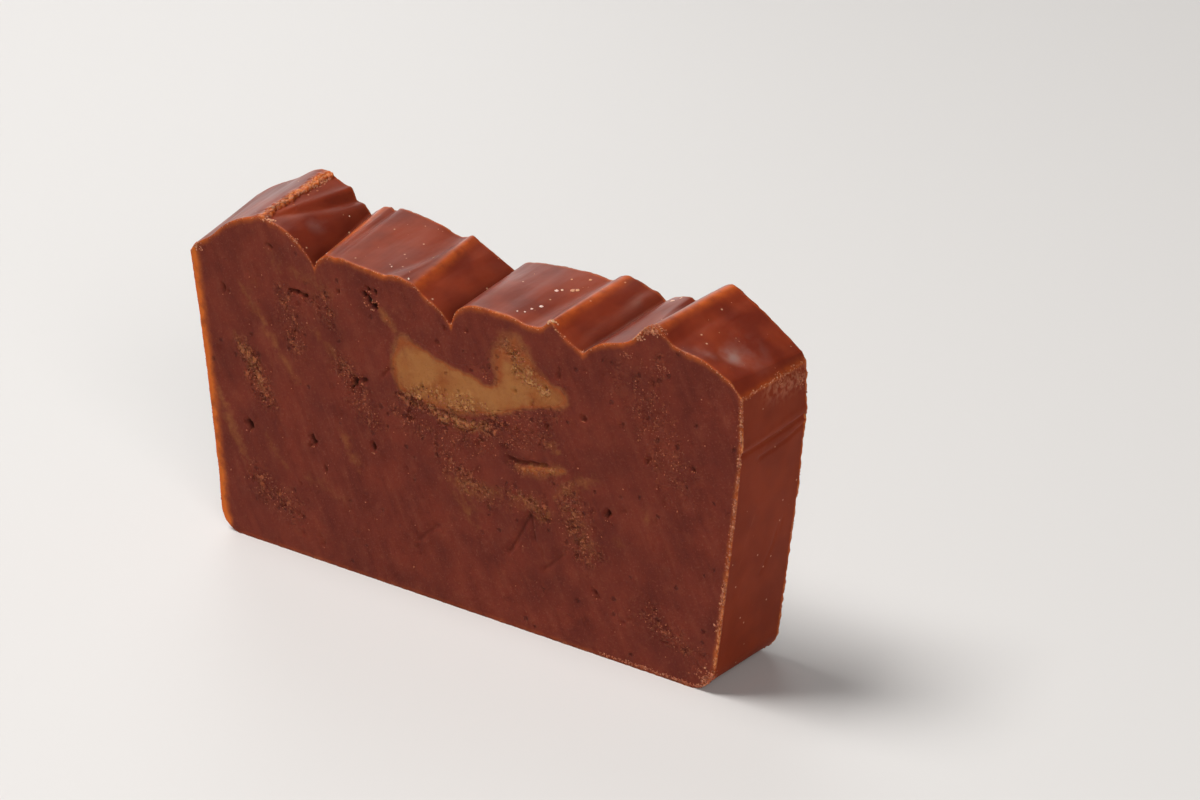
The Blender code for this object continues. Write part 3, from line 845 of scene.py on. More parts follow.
#   x, z, radius along x, radius along z, how much softer the border is, how much browner the tan
TAN_BLURS = (
    (15.6, 59.2, 5.0, 3.6, 2.6, 0.42),
    (-12.4, 53.4, 3.0, 2.4, 1.6, 0.30),
    (-13.4, 48.0, 1.6, 3.0, 0.8, 0.05),
    (12.6, 54.0, 2.4, 3.4, 2.2, 0.10),
    (21.0, 54.8, 3.4, 2.4, 1.3, 0.22),
    (27.6, 51.0, 2.6, 2.4, 0.9, 0.05),
    (-10.0, 43.0, 5.0, 1.6, 0.5, 0.00),
    (2.0, 41.8, 9.0, 1.6, 0.7, 0.00),
)
print("streaks:", len(STREAKS))

# %% [markdown]
# The share of tan falls from one inside the tan's outline to nought outside it, quickly where the
# border is crisp and slowly where it is smeared. A streak has a soft core that narrows and fades
# towards both ends, because the fudge was drawn out as it was stirred.

# %% Paint the share of tan
def spot(x, z, spot_x, spot_z, radius_x, radius_z):
    return np.exp(-((x - spot_x) / radius_x) ** 2 - ((z - spot_z) / radius_z) ** 2)


def inside_of(x, z, outline):
    """True for the points inside a closed outline."""
    crossings = np.zeros(len(x), int)
    for (x0, z0), (x1, z1) in zip(outline, np.roll(outline, -1, axis=0)):
        level = z1 - z0 if z1 != z0 else 1e-9
        crossings += ((z0 > z) != (z1 > z)) & (x < x0 + (z - z0) * (x1 - x0) / level)
    return crossings % 2 == 1


def streak_share(x, z, points, width):
    """A drawn-out streak with a soft core, which narrows and fades towards both its ends."""
    (x0, z0), (x1, z1) = points[0], points[-1]
    along = ((x - x0) * (x1 - x0) + (z - z0) * (z1 - z0)) / ((x1 - x0) ** 2 + (z1 - z0) ** 2)
    taper = np.sqrt(np.clip(4 * (along + 0.12) * (1.12 - along) / 1.54, 0.04, 1))
    return taper * np.exp(-(distance_to_path(x, z, points) / (width * (0.4 + 0.6 * taper))) ** 1.5)


def tan_share(x, z):
    """Share of tan at places on the front cut: the filling with its soft border, and the streaks."""
    outline = smooth_run(TAN_OUTLINE, 4, closed=True)
    flat = np.stack([x, 0 * x, z], axis=1)
    wobble = 0.5 * field(flat, 1.9, 9.0) + 0.25 * field(flat, 0.8, 12.0)
    patchy = field(flat, 2.6, 14.0) + 0.5 * field(flat, 1.1, 16.0)
    path = [tuple(point) for point in outline] + [tuple(outline[0])]
    off = distance_to_path(x, z, path) * np.where(inside_of(x, z, outline), -1, 1) + wobble
    softness, strength = np.full(len(x), TAN_SOFTNESS), np.full(len(x), 1.0)
    for blur_x, blur_z, radius_x, radius_z, softer, browner in TAN_BLURS:
        near = spot(x, z, blur_x, blur_z, radius_x, radius_z)
        softness += softer * near
        strength -= browner * near * (1 + 0.9 * patchy)
    share = strength / (1 + np.exp(np.clip(2.2 * off / softness, -30, 30)))
    strayed_x, strayed_z = x + 0.5 * field(flat, 2.4, 21.0), z + 0.5 * field(flat, 2.4, 27.0)
    broken = np.clip(0.8 + 0.7 * field(flat, 1.3, 5.0), 0, 1.2)
    for streak_strength, width, points in STREAKS:
        near = streak_share(strayed_x, strayed_z, points, width)
        share = np.maximum(share, streak_strength * near * broken)
    return share


def paint(piece, name, values):
    layer = piece.data.attributes.get(name) or piece.data.attributes.new(name, "FLOAT", "POINT")
    layer.data.foreach_set("value", np.asarray(values, np.float32))


def mesh_points(piece):
    points = np.empty(len(piece.data.vertices) * 3, np.float32)
    piece.data.vertices.foreach_get("co", points)
    return points.reshape(-1, 3).astype(float) / MM


for piece, elsewhere in ((body, 0.0), (filling, 0.9)):
    points = mesh_points(piece)
    near_front = points[:, 1] < -THICKNESS / 2 + 3
    share = np.full(len(points), elsewhere)
    share[near_front] = tan_share(points[near_front, 0], points[near_front, 2])
    paint(piece, "tan", share)
    print(piece.name, "mean share of tan:", round(float(share.mean()), 3))

# %% [markdown]
# Colours are typed as the hex values a painter would pick, and one function turns them to the linear
# values that shaders work in. One more function adds a node, sets it and links it. It feeds the
# node's open sockets in order, so that a material reads as a recipe, from top to bottom.

# %% Colours and nodes
def colour(code, alpha=1.0):
    """A linear colour from an sRGB hex code."""
    channels = [int(code[i:i + 2], 16) / 255 for i in (1, 3, 5)]
    return (*[c / 12.92 if c <= 0.04045 else ((c + 0.055) / 1.055) ** 2.4 for c in channels], alpha)


def add(tree, kind, *fed, out=None, **named):
    """Add a node with what its open sockets are fed in order, and with named sockets and settings.

    A hex code becomes a colour, and an output of another node a link. The result is the output of
    the name asked for, or else the first open one.
    """
    made = tree.nodes.new("ShaderNode" + kind)
    for name, value in named.items():
        if name not in made.inputs:
            setattr(made, name, value)
    in_order = zip([socket for socket in made.inputs if socket.enabled], fed)
    by_name = [(made.inputs[name], value) for name, value in named.items() if name in made.inputs]
    for socket, value in (*in_order, *by_name):
        if isinstance(value, bpy.types.NodeSocket):
            tree.links.new(value, socket)
        else:
            socket.default_value = colour(value) if isinstance(value, str) else value
    return made.outputs[out] if out else [socket for socket in made.outputs if socket.enabled][0]


def per_size(size):
    """Texture scale that makes one lump of a pattern about this many mm wide."""
    return 1 / (size * MM)


def new_material(name):
    """The material of that name, made if the mesh doesn't have it yet, with its shader."""
    material = bpy.data.materials.get(name) or bpy.data.materials.new(name)
    material.use_nodes = True
    return material, material.node_tree, material.node_tree.nodes["Principled BSDF"]


# %% [markdown]
# A fudge surface is one colour with others laid over it: paler where grains stand up, painted shade
# in the gaps, and a painted orange glow where it is thin. So the recipes are stacks of coats. A coat
# needs to know where it lies, which is a pattern's climb between two values, and often it is kept to
# an area that the mesh has painted. Every pattern reads Object coordinates, and its size is a real
# one in millimetres.

# %% Coats of colour
# Red light travels furthest in cocoa and sugar, so shadow edges and thin rims turn orange
LIGHT_TRAVEL = (1.0, 0.30, 0.12)
SINKS_IN = 0.4
SPECK_EDGE = 0.05


def coat(tree, base, tint, pattern, low=0.0, high=1.0, most=1.0):
    """A colour over the base, the thicker the further the pattern is from low to high."""
    thickness = add(tree, "MapRange", pattern, low, high, 0.0, most)
    return add(tree, "Mix", thickness, base, tint, data_type="RGBA")


def kept_to(tree, area, pattern, low=0.0, high=1.0, least=0.0, most=1.0):
    """A pattern's climb from low to high, kept to an area of the surface."""
    climb = add(tree, "MapRange", pattern, low, high, least, most)
    return add(tree, "Math", area, climb, operation="MULTIPLY")


def object_place(tree, turn=(0, 0, 0), stretch=(1, 1, 1)):
    """Object coordinates, turned and squeezed so that a pattern is drawn out along one way."""
    place = add(tree, "TexCoord", out="Object")
    turned = add(tree, "Mapping", place, Rotation=[math.radians(angle) for angle in turn])
    return add(tree, "Mapping", turned, Scale=stretch)


def specks(tree, base, tint, place, spacing, radius):
    """Small specks of a colour that lie about a spacing in mm apart."""
    share = radius / spacing
    middle = add(tree, "TexVoronoi", place, per_size(spacing))
    return coat(tree, base, tint, middle, share + SPECK_EDGE, share)


def painted_edge_glow(tree, base, orange, pale):
    """Painted orange glow for light through thin fudge, with broken pale crumbs on the burr itself."""
    place = object_place(tree)
    thin, ragged = (add(tree, "Attribute", attribute_name=name, out="Fac") for name in ("rim", "burr"))
    broken = add(tree, "TexNoise", place, per_size(2.2), 3.0, 0.6)
    base = coat(tree, base, orange, kept_to(tree, thin, broken, 0.34, 0.60, 0.45), 0.05, 0.95, 0.92)
    crumbly = add(tree, "MapRange", ragged, 0.15, 0.7, 0.0, 0.8)
    flakes = add(tree, "TexNoise", place, per_size(0.5))
    return coat(tree, base, pale, kept_to(tree, crumbly, flakes, 0.42, 0.6))


def finish(tree, shader, base, normal, roughness, gloss, depth):
    """Fill in the shader: gloss is the specular level, depth how far light travels inside, in mm."""
    tree.links.new(base, shader.inputs["Base Color"])
    tree.links.new(normal, shader.inputs["Normal"])
    for socket, value in (("Roughness", roughness), ("Specular IOR Level", gloss),
                          ("Subsurface Weight", SINKS_IN), ("Subsurface Radius", LIGHT_TRAVEL),
                          ("Subsurface Scale", depth * MM)):
        shader.inputs[socket].default_value = value


# %% [markdown]
# Cut fudge is a fine paste of sugar crystals in fat: matt, sandy at three or four tenths of a
# millimetre, and drawn out in faint streaks by the wire. The streaks lean the way the wire went.
# The recipe is one brown with a broad, a patchy, a streaky and a fine variation. Over it come the
# tan share with an orange haze at its border, the grains of dry patches with painted shade in their
# gaps, pinholes filled with painted shade, the painted orange glow of thin edges, and painted shade
# in pockets. It has hardly any gloss, which leaves the eye nothing but a deep, even red-brown.
# Peanut-butter fudge is the same paste with no cocoa, so the filling takes this recipe too, and its
# painted share of tan alone turns it golden.

# %% Recipe of the wire-cut paste
BROWNS = ("#672a1f", "#743022")
TANS = ("#925127", "#a2693a")
GRAIN_SIZE = 0.42
WIRE_LEAN = 27


def cells(tree, place, size):
    """Cells about a size in mm across: how far from a cell's middle, and the cell's random shade."""
    middle = add(tree, "TexVoronoi", place, per_size(size))
    return middle, add(tree, "SeparateColor", middle.node.outputs["Color"])


def strayed(tree, place, reach):
    """Coordinates pushed about by noise, so that a pattern of cells loses its evenness."""
    push = add(tree, "TexNoise", place, per_size(reach), 1.0, out="Color")
    return add(tree, "Mix", reach * MM, place, push, data_type="VECTOR")


def torn_paste(tree):
    """Colour and bump of wire-cut paste, brown or tan as the mesh's share of tan says."""
    place = object_place(tree)
    drawn_place = object_place(tree, (0, WIRE_LEAN, 0), (1, 1, 0.13))
    pushed = strayed(tree, place, 0.7)
    share, dry, pocket_shade = (add(tree, "Attribute", attribute_name=name, out="Fac")
                       for name in ("tan", "dry", "pocket_shade"))
    broad = add(tree, "MapRange", add(tree, "TexNoise", place, per_size(9), 3.0), 0.38, 0.62)
    patches = add(tree, "TexNoise", place, per_size(3.6), 3.0, 0.6)
    drawn = add(tree, "TexNoise", drawn_place, per_size(1.6), 3.0)
    grain = add(tree, "TexNoise", place, per_size(GRAIN_SIZE), 1.0, 0.6)
    clumps = add(tree, "TexNoise", place, per_size(1.2), 2.0, 0.65)
    base = add(tree, "Mix", broad, *BROWNS, data_type="RGBA")
    for tint, pattern, low, high, most in (("#874430", patches, 0.54, 0.74, 0.35),
                                           ("#541f18", patches, 0.46, 0.28, 0.40),
                                           ("#874430", drawn, 0.54, 0.74, 0.25),
                                           ("#4d1b14", drawn, 0.46, 0.30, 0.25)):
        base = coat(tree, base, tint, pattern, low, high, most)
    # the tan, torn at its border, with an orange haze where brown lies over it
    tatter = add(tree, "MapRange", clumps, 0.36, 0.62, -0.12, 0.12)
    torn = kept_to(tree, add(tree, "Math", share, tatter, operation="ADD"), share, 0.02, 0.2)
    shift = add(tree, "Math", broad, patches, operation="ADD")
    base = coat(tree, base, coat(tree, *TANS, shift, 0.3, 1.2), torn)
    haze = kept_to(tree, add(tree, "MapRange", share, 0.34, 0.52), share, 0.86, 0.58)
    base = coat(tree, base, "#9c4318", haze, most=0.42)
    base = coat(tree, base, "#a8654b", grain, 0.60, 0.78, 0.20)
    base = coat(tree, base, "#4a1c12", grain, 0.40, 0.24, 0.20)
    # sandy patches: grains with painted shade in the gaps between them, and a pale one here and there
    light_grain = coat(tree, "#9e543a", "#dea669", share)
    gap_shade = coat(tree, "#511c13", "#924b23", share)
    sandy = add(tree, "MapRange", kept_to(tree, dry, clumps, 0.32, 0.60, 0.3, 1.5), 0.08, 0.90)
    middle, shade = cells(tree, pushed, 0.50)
    fine_gap = kept_to(tree, sandy, middle, 0.42, 0.68)
    base = coat(tree, base, light_grain, kept_to(tree, sandy, shade, 0.50, 0.90), most=0.75)
    base = coat(tree, base, gap_shade, fine_gap, most=0.75)
    # crumbling clumps where it is driest, with painted shade in the wide gaps between them
    clump = coat(tree, "#b06243", "#d2945e", share, 0.1, 0.6)
    clump_gap_shade = coat(tree, "#511b10", "#7a3b1c", share, 0.2, 0.8)
    crumbly = add(tree, "MapRange", kept_to(tree, dry, clumps, 0.30, 0.56, 0.5, 1.2), 0.42, 0.80)
    middle, clump_shade = cells(tree, pushed, 1.0)
    wide_gap = kept_to(tree, crumbly, middle, 0.56, 0.76)
    base = coat(tree, base, clump, kept_to(tree, crumbly, clump_shade, 0.30, 0.95), most=0.95)
    base = coat(tree, base, clump_gap_shade, wide_gap, most=0.75)
    # air pits filled with painted shade, more where it is dry; a cell's shade also sets its pit's size
    middle, pit_shade = cells(tree, pushed, 2.1)
    plenty = add(tree, "MapRange", dry, 0.0, 0.5, 0.10, 0.50)
    held = add(tree, "Math", pit_shade, plenty, operation="ADD")
    shrunk = add(tree, "Math", held, -0.12, middle, operation="MULTIPLY_ADD")
    hollow = kept_to(tree, add(tree, "MapRange", held, 1.0, 1.03), shrunk, 0.12, 0.02)
    base = coat(tree, base, gap_shade, hollow, most=0.6)
    # painted shade in the pockets, the darker the deeper they are
    base = coat(tree, base, "#1f0906", pocket_shade, 0.6, 1.4, 0.85)
    # heights in mm
    height = 0.0
    for pattern, rise in ((grain, 0.06), (clumps, 0.16), (kept_to(tree, sandy, shade), 0.20),
                          (kept_to(tree, crumbly, clump_shade), 0.35),
                          (fine_gap, -0.26), (wide_gap, -0.45), (hollow, -0.50)):
        height = add(tree, "Math", pattern, rise, height, operation="MULTIPLY_ADD")
    return base, add(tree, "Bump", Strength=1.0, Distance=MM, Height=height)


def make_cut_fudge():
    material, tree, shader = new_material(SURFACES[CUT])
    base, normal = torn_paste(tree)
    # painted orange glow at the thin edges, with pale crumbs on the burr
    base = painted_edge_glow(tree, base, "#cf6826", "#d28c5e")
    finish(tree, shader, base, normal, roughness=0.75, gloss=0.12, depth=0.9)
    return material


def make_peanut_paste():
    material, tree, shader = new_material("wire-cut peanut-butter fudge")
    finish(tree, shader, *torn_paste(tree), roughness=0.75, gloss=0.12, depth=0.9)
    return material


# %% [markdown]
# The top set in the open air from melted fudge, so it is smooth with a satin gloss, a few soft
# ripples and almost no grain. It is the most translucent surface, since nothing scatters light at its
# skin, and its thin ridges get a painted orange glow besides the light the shader lets through. The
# gloss is a moderate roughness that shows the bright room as grey sheets on the flats and leaves the
# slopes a saturated red-brown. The valleys get a painted shade, for the light that doesn't get down
# into them, and a greyish spot or two is a painted reflection of the room.

# %% Finish of the top
def make_top_skin():
    material, tree, shader = new_material(SURFACES[TOP])
    place = object_place(tree)
    painted_sheen, valley_shade = (add(tree, "Attribute", attribute_name=name, out="Fac")
                     for name in ("painted_sheen", "valley_shade"))
    ripple = add(tree, "TexNoise", object_place(tree, stretch=(1, 0.3, 1)), per_size(3.4), 2.0, 0.4)
    base = coat(tree, "#6b2416", "#85331c", add(tree, "TexNoise", place, per_size(8), 3.0), 0.35, 0.65)
    # painted reflection of the room as a greyish sheen, broken up by noise
    sheen_patch = kept_to(tree, painted_sheen, add(tree, "TexNoise", place, per_size(3), 3.0), 0.30, 0.56, 0.3)
    base = coat(tree, base, "#97786f", sheen_patch, 0.1, 1.0, 0.8)
    # painted shade in the valleys
    base = coat(tree, base, "#531a0e", valley_shade, most=0.55)
    base = specks(tree, base, "#c99a7c", place, 3.4, 0.09)
    # painted orange glow on the thin ridges and edges, with pale crumbs on the burr
    base = painted_edge_glow(tree, base, "#c05a20", "#d68a50")
    soft = add(tree, "Bump", Strength=1.0, Distance=0.22 * MM, Height=ripple)
    fine = add(tree, "TexNoise", place, per_size(0.9))
    bump = add(tree, "Bump", Strength=1.0, Distance=0.012 * MM, Height=fine, Normal=soft)
    finish(tree, shader, base, bump, roughness=0.34, gloss=0.36, depth=2.0)
    shader.inputs["Specular Tint"].default_value = colour("#ffe0c4")
    tree.links.new(add(tree, "MapRange", ripple, 0.3, 0.7, 0.32, 0.44), shader.inputs["Roughness"])
    return material


# %% [markdown]
# The ends and the base took the mould's lining: smooth but dull, with faint scratches from handling
# and a scraped, paler patch high on the right end. They need less gloss than the top and much less
# grain than the cuts.

# %% Finish of the moulded walls
def make_wall_skin():
    material, tree, shader = new_material(SURFACES[WALL])
    place = object_place(tree)
    scrape = add(tree, "Attribute", attribute_name="scrape", out="Fac")
    base = coat(tree, "#762c18", "#82331c", add(tree, "TexNoise", place, per_size(7), 3.0), 0.35, 0.65)
    scratches = add(tree, "TexNoise", object_place(tree, (22, 0, 0), (1, 1, 0.06)), per_size(0.7))
    base = coat(tree, base, "#9c5a3e", scratches, 0.70, 0.80, 0.35)
    base = specks(tree, base, "#c69072", place, 2.9, 0.10)
    scraped = kept_to(tree, scrape, add(tree, "TexNoise", place, per_size(1.1), 3.0), 0.42, 0.60)
    base = coat(tree, base, "#a6664c", scraped, most=0.70)
    # painted orange glow at the thin edges, with pale crumbs on the burr
    base = painted_edge_glow(tree, base, "#cf6826", "#d28c5e")
    fine = add(tree, "TexNoise", place, per_size(0.45), 3.0)
    height = add(tree, "Math", scraped, 3.0, fine, operation="MULTIPLY_ADD")
    bump = add(tree, "Bump", Strength=0.5, Distance=0.05 * MM, Height=height)
    finish(tree, shader, base, bump, roughness=0.55, gloss=0.05, depth=1.2)
    return material


# %% [markdown]
# The body's three materials were named when its mesh was made, so that the cut could share them out
# to the right faces. Now they are filled in, and the filling swaps them for its one paste.

# %% Give the body and the filling their finishes
for make in (make_cut_fudge, make_top_skin, make_wall_skin):
    make()
filling.data.materials.clear()
filling.data.materials.append(make_peanut_paste())
for polygon in filling.data.polygons:
    polygon.material_index = 0
print("materials:", [m.name for m in (*body.data.materials, *filling.data.materials)])
used = np.empty(len(body.data.polygons), np.int32)
body.data.polygons.foreach_get("material_index", used)
print("faces of each surface:", np.bincount(used, minlength=3).tolist())

# %% [markdown]
# Crumbs. The wire plucks them out of the dry patches and rolls them along the edges, and a few fall
# on the top. Each is an icosphere of twenty faces, or eighty where it lies in plain view, pressed out
# of round by noise and sunk a little over half into whatever lies nearest. They are real mesh in one
# joined piece, and each keeps a shade: dark chocolate at nought, pale tan at one, and sugary above
# it. A seeded generator draws sizes and places, so every run scatters them alike.

# %% One crumb
CRUMB_SEED = 11
CRUMB_SUNK = 0.08
CRUMB_LUMPS = 0.45
crumb_rng = random.Random(CRUMB_SEED)
between, about = crumb_rng.uniform, crumb_rng.gauss
crumb_bm = bmesh.new()
shade_layer = crumb_bm.verts.layers.float.new("shade")
graph = bpy.context.evaluated_depsgraph_get()
grounds = [BVHTree.FromObject(piece, graph) for piece in (body, filling)]


def nearest_surface(point):
    """Nearest place on the slice and the way it faces."""
    hits = [ground.find_nearest(point) for ground in grounds]
    place, normal, _, _ = min(hits, key=lambda hit: hit[3])
    return place, normal


def ball(rounds):
    """Corners and faces of an icosphere that is one wide."""
    bm = bmesh.new()
    bmesh.ops.create_icosphere(bm, subdivisions=rounds, radius=0.5)
    bm.verts.index_update()
    corners = [vert.co.copy() for vert in bm.verts]
    faces = [[vert.index for vert in face.verts] for face in bm.faces]
    bm.free()
    return corners, faces


BALLS = {rounds: ball(rounds) for rounds in (1, 2)}


def crumb(point, size, shade, flat=1.0, rounds=1):
    """One crumb of a size in mm at a point in mm, lighter the higher its shade."""
    place, normal = nearest_surface(Vector(point) * MM)
    spin = Matrix.Rotation(between(0, 6.28), 3, "Z").to_quaternion()
    turn = normal.to_track_quat("Z", "Y") @ spin
    stretch = Vector((between(0.75, 1.3), between(0.7, 1.1), flat * between(0.6, 1.0)))
    seed = Vector((between(0, 50), 0, 0))
    centre = place - normal * size * MM * CRUMB_SUNK
    corners, faces = BALLS[rounds]
    made = []
    for corner in corners:
        lump = 1 + CRUMB_LUMPS * noise.noise(corner * 3.2 + seed)
        vert = crumb_bm.verts.new(centre + turn @ (corner * stretch * size * MM * lump))
        vert[shade_layer] = shade
        made.append(vert)
    for face in faces:
        crumb_bm.faces.new([made[index] for index in face])


# %% [markdown]
# First the edges. The wire left the loaf down the right, so the burr there is thick with crumbs, and
# thickest at the base. Noise opens gaps in the row, because a burr breaks off in stretches.

# %% Crumbs along the edges
#   y of the edge, number
RIGHT_EDGES = ((FRONT, 900), (BACK, 360))
BASE_CRUMBS = 240
TOP_EDGE_CRUMBS = 420
LEFT_EDGE_CRUMBS = 90
END_CORNER_CRUMBS = 110


def outline_point(share):
    """Point of the front top outline at a share of its length."""
    index = share * (len(STATIONS) - 1)
    x, z = (np.interp(index, np.arange(len(STATIONS)), STATIONS[:, i]) for i in (0, 1))
    return float(x), float(z)


def right_edge_x(z):
    return float(np.interp(z / SIDE_HEIGHT, [height for height, _ in RIGHT_WALL] + [1.0],
                           [x for _, x in RIGHT_WALL] + [RIGHT_TOP_CORNER[0]]))


for y, amount in RIGHT_EDGES:
    for _ in range(amount):
        z = 60 * crumb_rng.random() ** 1.35 + 0.8
        if noise.noise((z / 3.0, y, 0)) < between(-0.3, 0.1):
            continue
        spread = 0.24 + 1.2 * math.exp(-z / 11)
        corner_in = max(0.0, BASE_CORNER_RADIUS - z) ** 2 / (2 * BASE_CORNER_RADIUS)
        x = right_edge_x(z) - corner_in - abs(about(0, spread))
        crumb((x, y, z), between(0.16, 0.62), between(0.2, 0.8))
for _ in range(BASE_CRUMBS):
    x = 62 - 26 * crumb_rng.random() ** 1.5
    crumb((x, FRONT, 0.4 + abs(about(0, 0.3))), between(0.2, 0.5), between(0.2, 0.7))
for _ in range(TOP_EDGE_CRUMBS):
    x, z = outline_point(crumb_rng.random())
    crumb((x, FRONT, z - abs(about(0, 0.2))), between(0.12, 0.30), between(0.4, 0.85))
for _ in range(LEFT_EDGE_CRUMBS):
    z = between(3, 60)
    crumb((-61.2 - 5 * (z / 60) ** 1.3, FRONT, z), between(0.15, 0.35), between(0.4, 0.6))
print("crumb corners along the edges:", len(crumb_bm.verts))

# %% [markdown]
# Then the places where the photograph shows crumbs lying thick: clumps on the crests and in the torn
# hole, the corner over the right end, every dry patch and the torn flap. Crumbs also go on the lower
# lips of pockets, partly as crumbs and partly as a painted highlight where light catches those lips.

# %% Crumbs in clumps, dry patches and pockets
#   x, y, z, spread, number, smallest, largest, shade
CLUMPS = (
    (24.8, -10.0, 65.8, 0.55, 46, 0.25, 0.75, 0.80),
    (44.9, -10.2, 67.6, 0.9, 70, 0.22, 0.55, 0.66),
    (47.4, -10.0, 69.6, 1.0, 130, 0.15, 0.65, 0.60),
    (49.6, -10.0, 69.6, 0.8, 60, 0.15, 0.50, 0.55),
    (43.0, -10.3, 63.4, 0.8, 26, 0.15, 0.42, 0.38),
    (50.4, -10.3, 62.6, 1.0, 24, 0.15, 0.42, 0.42),
    (33.0, -10.0, 61.8, 0.5, 14, 0.20, 0.45, 0.80),
    (-45.4, -9.9, 70.6, 0.7, 26, 0.25, 0.60, 0.80),
    (-38.6, -10.2, 68.0, 1.2, 26, 0.20, 0.45, 0.60),
    (-64.2, -10.2, 60.8, 0.8, 20, 0.20, 0.50, 0.70),
    (68.2, 8.6, 58.6, 1.6, 60, 0.12, 0.50, 0.42),
    (68.2, 2.0, 60.8, 1.3, 34, 0.12, 0.45, 0.48),
    (-18.8, -10.4, 59.4, 1.0, 14, 0.20, 0.50, 0.50),
    (62.0, -10.3, 3.0, 1.8, 60, 0.20, 0.60, 0.42),
)
DRY_CRUMBS = 8
FLAP_FLAKES = 130
HIGHLIGHT_LIP_CRUMBS = 90

for x, y, z, spread, number, small, large, shade in CLUMPS:
    for _ in range(number):
        place = (about(x, spread), about(y, spread * 0.4), about(z, spread * 0.5))
        crumb(place, between(small, large), about(shade, 0.12))
for _ in range(END_CORNER_CRUMBS):
    share = crumb_rng.random()
    x = RIGHT_TOP_CORNER[0] + (RIGHT_TOP_CORNER[2] - RIGHT_TOP_CORNER[0]) * share
    z = RIGHT_TOP_CORNER[1] + (RIGHT_TOP_CORNER[3] - RIGHT_TOP_CORNER[1]) * share
    crumb((x, FRONT + THICKNESS * share, z + about(0, 0.25)), between(0.12, 0.42), between(0.35, 0.75))
for strength, width, path in DRY_ZONES:
    for (x0, z0), (x1, z1) in zip(path, path[1:]):
        length = math.hypot(x1 - x0, z1 - z0)
        for _ in range(int(length * width * strength * DRY_CRUMBS)):
            t = crumb_rng.random()
            x = x0 + (x1 - x0) * t + about(0, width * 0.45)
            z = z0 + (z1 - z0) * t + about(0, width * 0.45)
            crumb((x, FRONT, z), between(0.15, 0.40), between(0.0, 0.55))
for _ in range(FLAP_FLAKES):
    y = between(-9.6, 9.8)
    crumb((-46.6 + about(0, 0.7), y, 73), between(0.3, 0.9), between(0.5, 0.75), flat=0.5)
# pale crumbs on the lower lips of pockets, a painted highlight where light catches the lip
for x, z, width, height, _, _ in POCKETS + tuple(small_pockets[:HIGHLIGHT_LIP_CRUMBS]):
    for _ in range(3 if width > 1.2 else 1):
        place = (x + about(0, width * 0.3), FRONT, z - height * 0.55 - 0.1)
        crumb(place, between(0.22, 0.42), between(0.25, 0.55))

# %% [markdown]
# Last, the few that fell on the top. The photograph shows where the bright ones lie, so they are
# placed one by one, flatter and rounder than the rest.

# %% Crumbs that lie on the top
#   x, y, size, shade
LYING = ((17.3, 1.5, 0.8, 1.3), (18.0, 2.3, 0.5, 1.2), (19.5, 3.3, 1.1, 0.80), (20.3, 3.9, 0.7, 0.9),
         (16.9, 6.4, 0.5, 1.0), (20.1, 8.1, 0.8, 0.8), (18.6, -4.5, 0.6, 1.4), (17.7, -6.4, 0.4, 1.3),
         (17.3, -8.0, 0.45, 1.4), (15.7, -8.7, 0.35, 1.3), (39.0, 8.2, 0.7, 1.2), (40.0, 9.6, 0.6, 1.2),
         (-16.0, -7.5, 0.4, 1.3), (-9.6, -9.8, 0.5, 1.4), (-37.2, 5.0, 0.35, 1.2), (-33.4, -9.4, 0.45, 1.3))
OVER_THE_TOP = 69
STRAY_CRUMBS = 40

for x, y, size, shade in LYING:
    crumb((x, y, OVER_THE_TOP), size * 1.2, shade, flat=0.45, rounds=2)
for _ in range(STRAY_CRUMBS):
    crumb((between(-60, 66), between(-10, 10), OVER_THE_TOP), between(0.12, 0.25), between(0.6, 1.0))
for face in crumb_bm.faces:
    face.smooth = True
for vert in crumb_bm.verts:
    vert.co = [min(max(c, low - BOX_SLACK * MM), high + BOX_SLACK * MM)
               for c, low, high in zip(vert.co, cad_low, cad_high)]
    vert.co.z = max(vert.co.z, 0.0)
crumbs = new_object("fudge_crumbs", crumb_bm)
print("crumb faces:", len(crumbs.data.polygons))

# %% [markdown]
# A loose crumb has torn faces all round and dries quickly, so it is paler than the slice and barely
# lets light through. Its shade alone picks its colour, from chocolate over tan to sugary pink-white.

# %% Finish of the crumbs
def make_crumb_paste():
    material, tree, shader = new_material("loose fudge crumb")
    shade = add(tree, "Attribute", attribute_name="shade", out="Fac")
    base = "#66291b"
    for tint, low, high in (("#a85c3e", 0.0, 0.5), ("#dca27c", 0.55, 1.0), ("#eac8ba", 1.0, 1.3)):
        base = coat(tree, base, tint, shade, low, high)
    rough = add(tree, "TexNoise", object_place(tree), per_size(0.25))
    bump = add(tree, "Bump", Strength=0.6, Distance=0.06 * MM, Height=rough)
    finish(tree, shader, base, bump, roughness=0.6, gloss=0.25, depth=0.3)
    return material


crumbs.data.materials.append(make_crumb_paste())

# %% [markdown]
# The stage is a plain pale floor under soft studio light. A wide panel high on the left is the main
# light. Two weaker panels behind the slice, one of them low, are what the satin top reflects, and a
# soft panel at the front right, with a faint even surround, fills the cut face and the right end.

# %% Floor and light
FLOOR_HALF = 3.0
SLICE_MIDDLE = Vector((0.0, 0.0, 0.035))
#   place and size in metres, watts, tint
PANELS = {
    "main_panel": ((-0.70, -0.31, 1.72), 0.87, 36.0, "#fffdfb"),
    "backdrop_panel": ((-1.06, 1.10, 1.18), 1.1, 3.6, "#ffffff"),
    "horizon_panel": ((-1.40, 1.30, 0.36), 0.7, 2.4, "#ffffff"),
    "front_panel": ((1.15, -0.95, 0.75), 0.9, 13.0, "#fffcf9"),
}
SURROUND_TINT = "#f1f2f4"
SURROUND_STRENGTH = 0.07

floor_bm = bmesh.new()
bmesh.ops.create_grid(floor_bm, x_segments=1, y_segments=1, size=FLOOR_HALF)
floor = new_object("floor", floor_bm)
floor_material, _, floor_shader = new_material("honed pale stone")
floor_shader.inputs["Base Color"].default_value = colour("#dad8d6")
floor_shader.inputs["Roughness"].default_value = 0.55
floor.data.materials.append(floor_material)


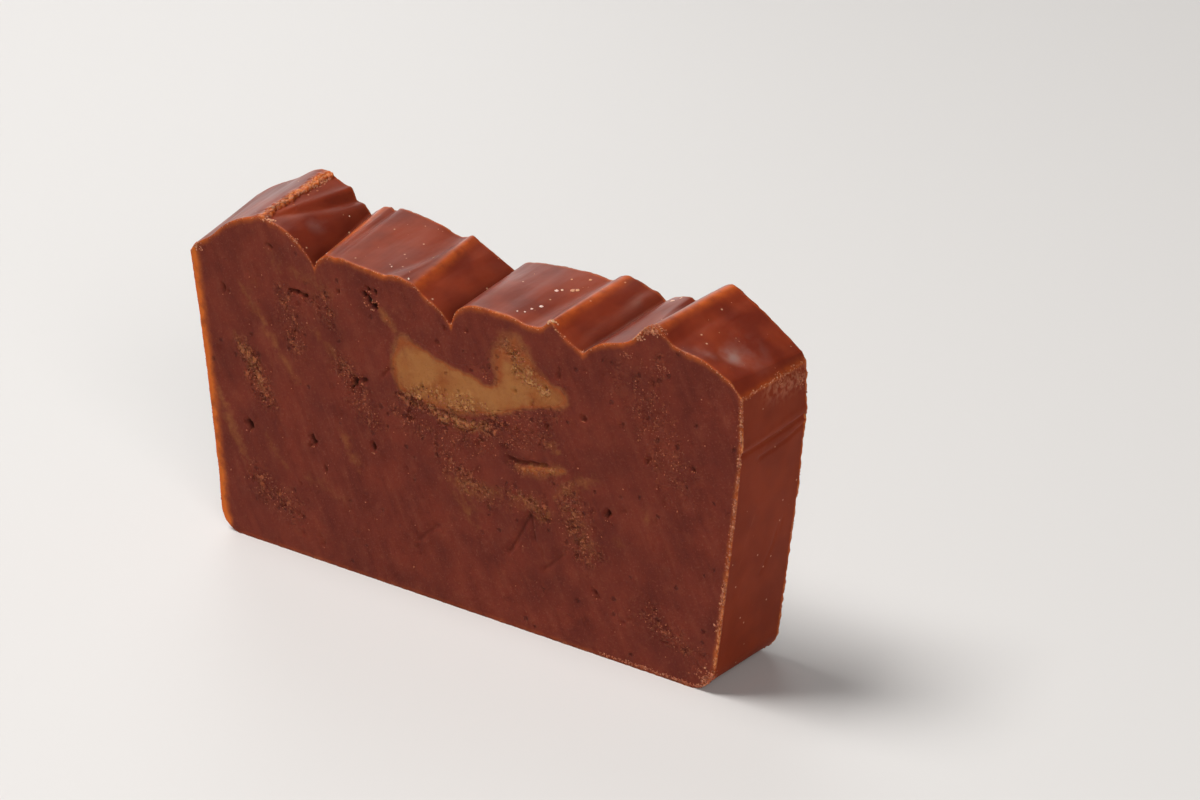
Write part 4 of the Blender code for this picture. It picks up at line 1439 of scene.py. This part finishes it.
def panel(name, place, size, watts, tint):
    """A soft square light that looks at the slice."""
    lamp = bpy.data.lights.new(name, "AREA")
    lamp.shape = "SQUARE"
    lamp.size = size
    lamp.energy = watts
    lamp.color = colour(tint)[:3]
    holder = bpy.data.objects.new(name, lamp)
    holder.location = place
    holder.rotation_euler = (Vector(place) - SLICE_MIDDLE).to_track_quat("Z", "Y").to_euler()
    bpy.context.scene.collection.objects.link(holder)


for name, described in PANELS.items():
    panel(name, *described)

world = bpy.data.worlds.new("studio")
world.use_nodes = True
surround = world.node_tree.nodes["Background"]
surround.inputs["Color"].default_value = colour(SURROUND_TINT)
surround.inputs["Strength"].default_value = SURROUND_STRENGTH
bpy.context.scene.world = world
bpy.context.scene.view_settings.view_transform = "Standard"
print("panels:", {name: watts for name, (_, _, watts, _) in PANELS.items()})

# %% [markdown]
# The camera stands where the photograph's did. A fit of the base's four corners gave its azimuth,
# height and distance, and the long lens that goes with them.

# %% Camera
AZIMUTH = math.radians(37.10)
ELEVATION = math.radians(22.65)
DISTANCE = 0.66203
TARGET = Vector((0.028637, 0.0, 0.047499))
LENS, SENSOR = 105, 36
NEAREST = 0.01
away = Vector((math.sin(AZIMUTH) * math.cos(ELEVATION), -math.cos(AZIMUTH) * math.cos(ELEVATION),
               math.sin(ELEVATION)))
lens = bpy.data.cameras.new("camera")
lens.lens = LENS
lens.sensor_width = SENSOR
lens.clip_start = NEAREST
camera = bpy.data.objects.new("camera", lens)
camera.location = TARGET + away * DISTANCE
camera.rotation_euler = away.to_track_quat("Z", "Y").to_euler()
bpy.context.scene.collection.objects.link(camera)
bpy.context.scene.camera = camera
print("camera at:", [round(c, 3) for c in camera.location])

# %% [markdown]
# Last, each piece is tied to the frame's root, which it rides on, and the imported solids are hidden.

# %% Tie the pieces to the frame
for piece, slot in ((body, "chocolate"), (filling, "peanut_butter"), (crumbs, "chocolate")):
    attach(piece, "root")
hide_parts("chocolate_fudge")
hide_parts("peanut_butter_filling")

bpy.context.view_layer.update()
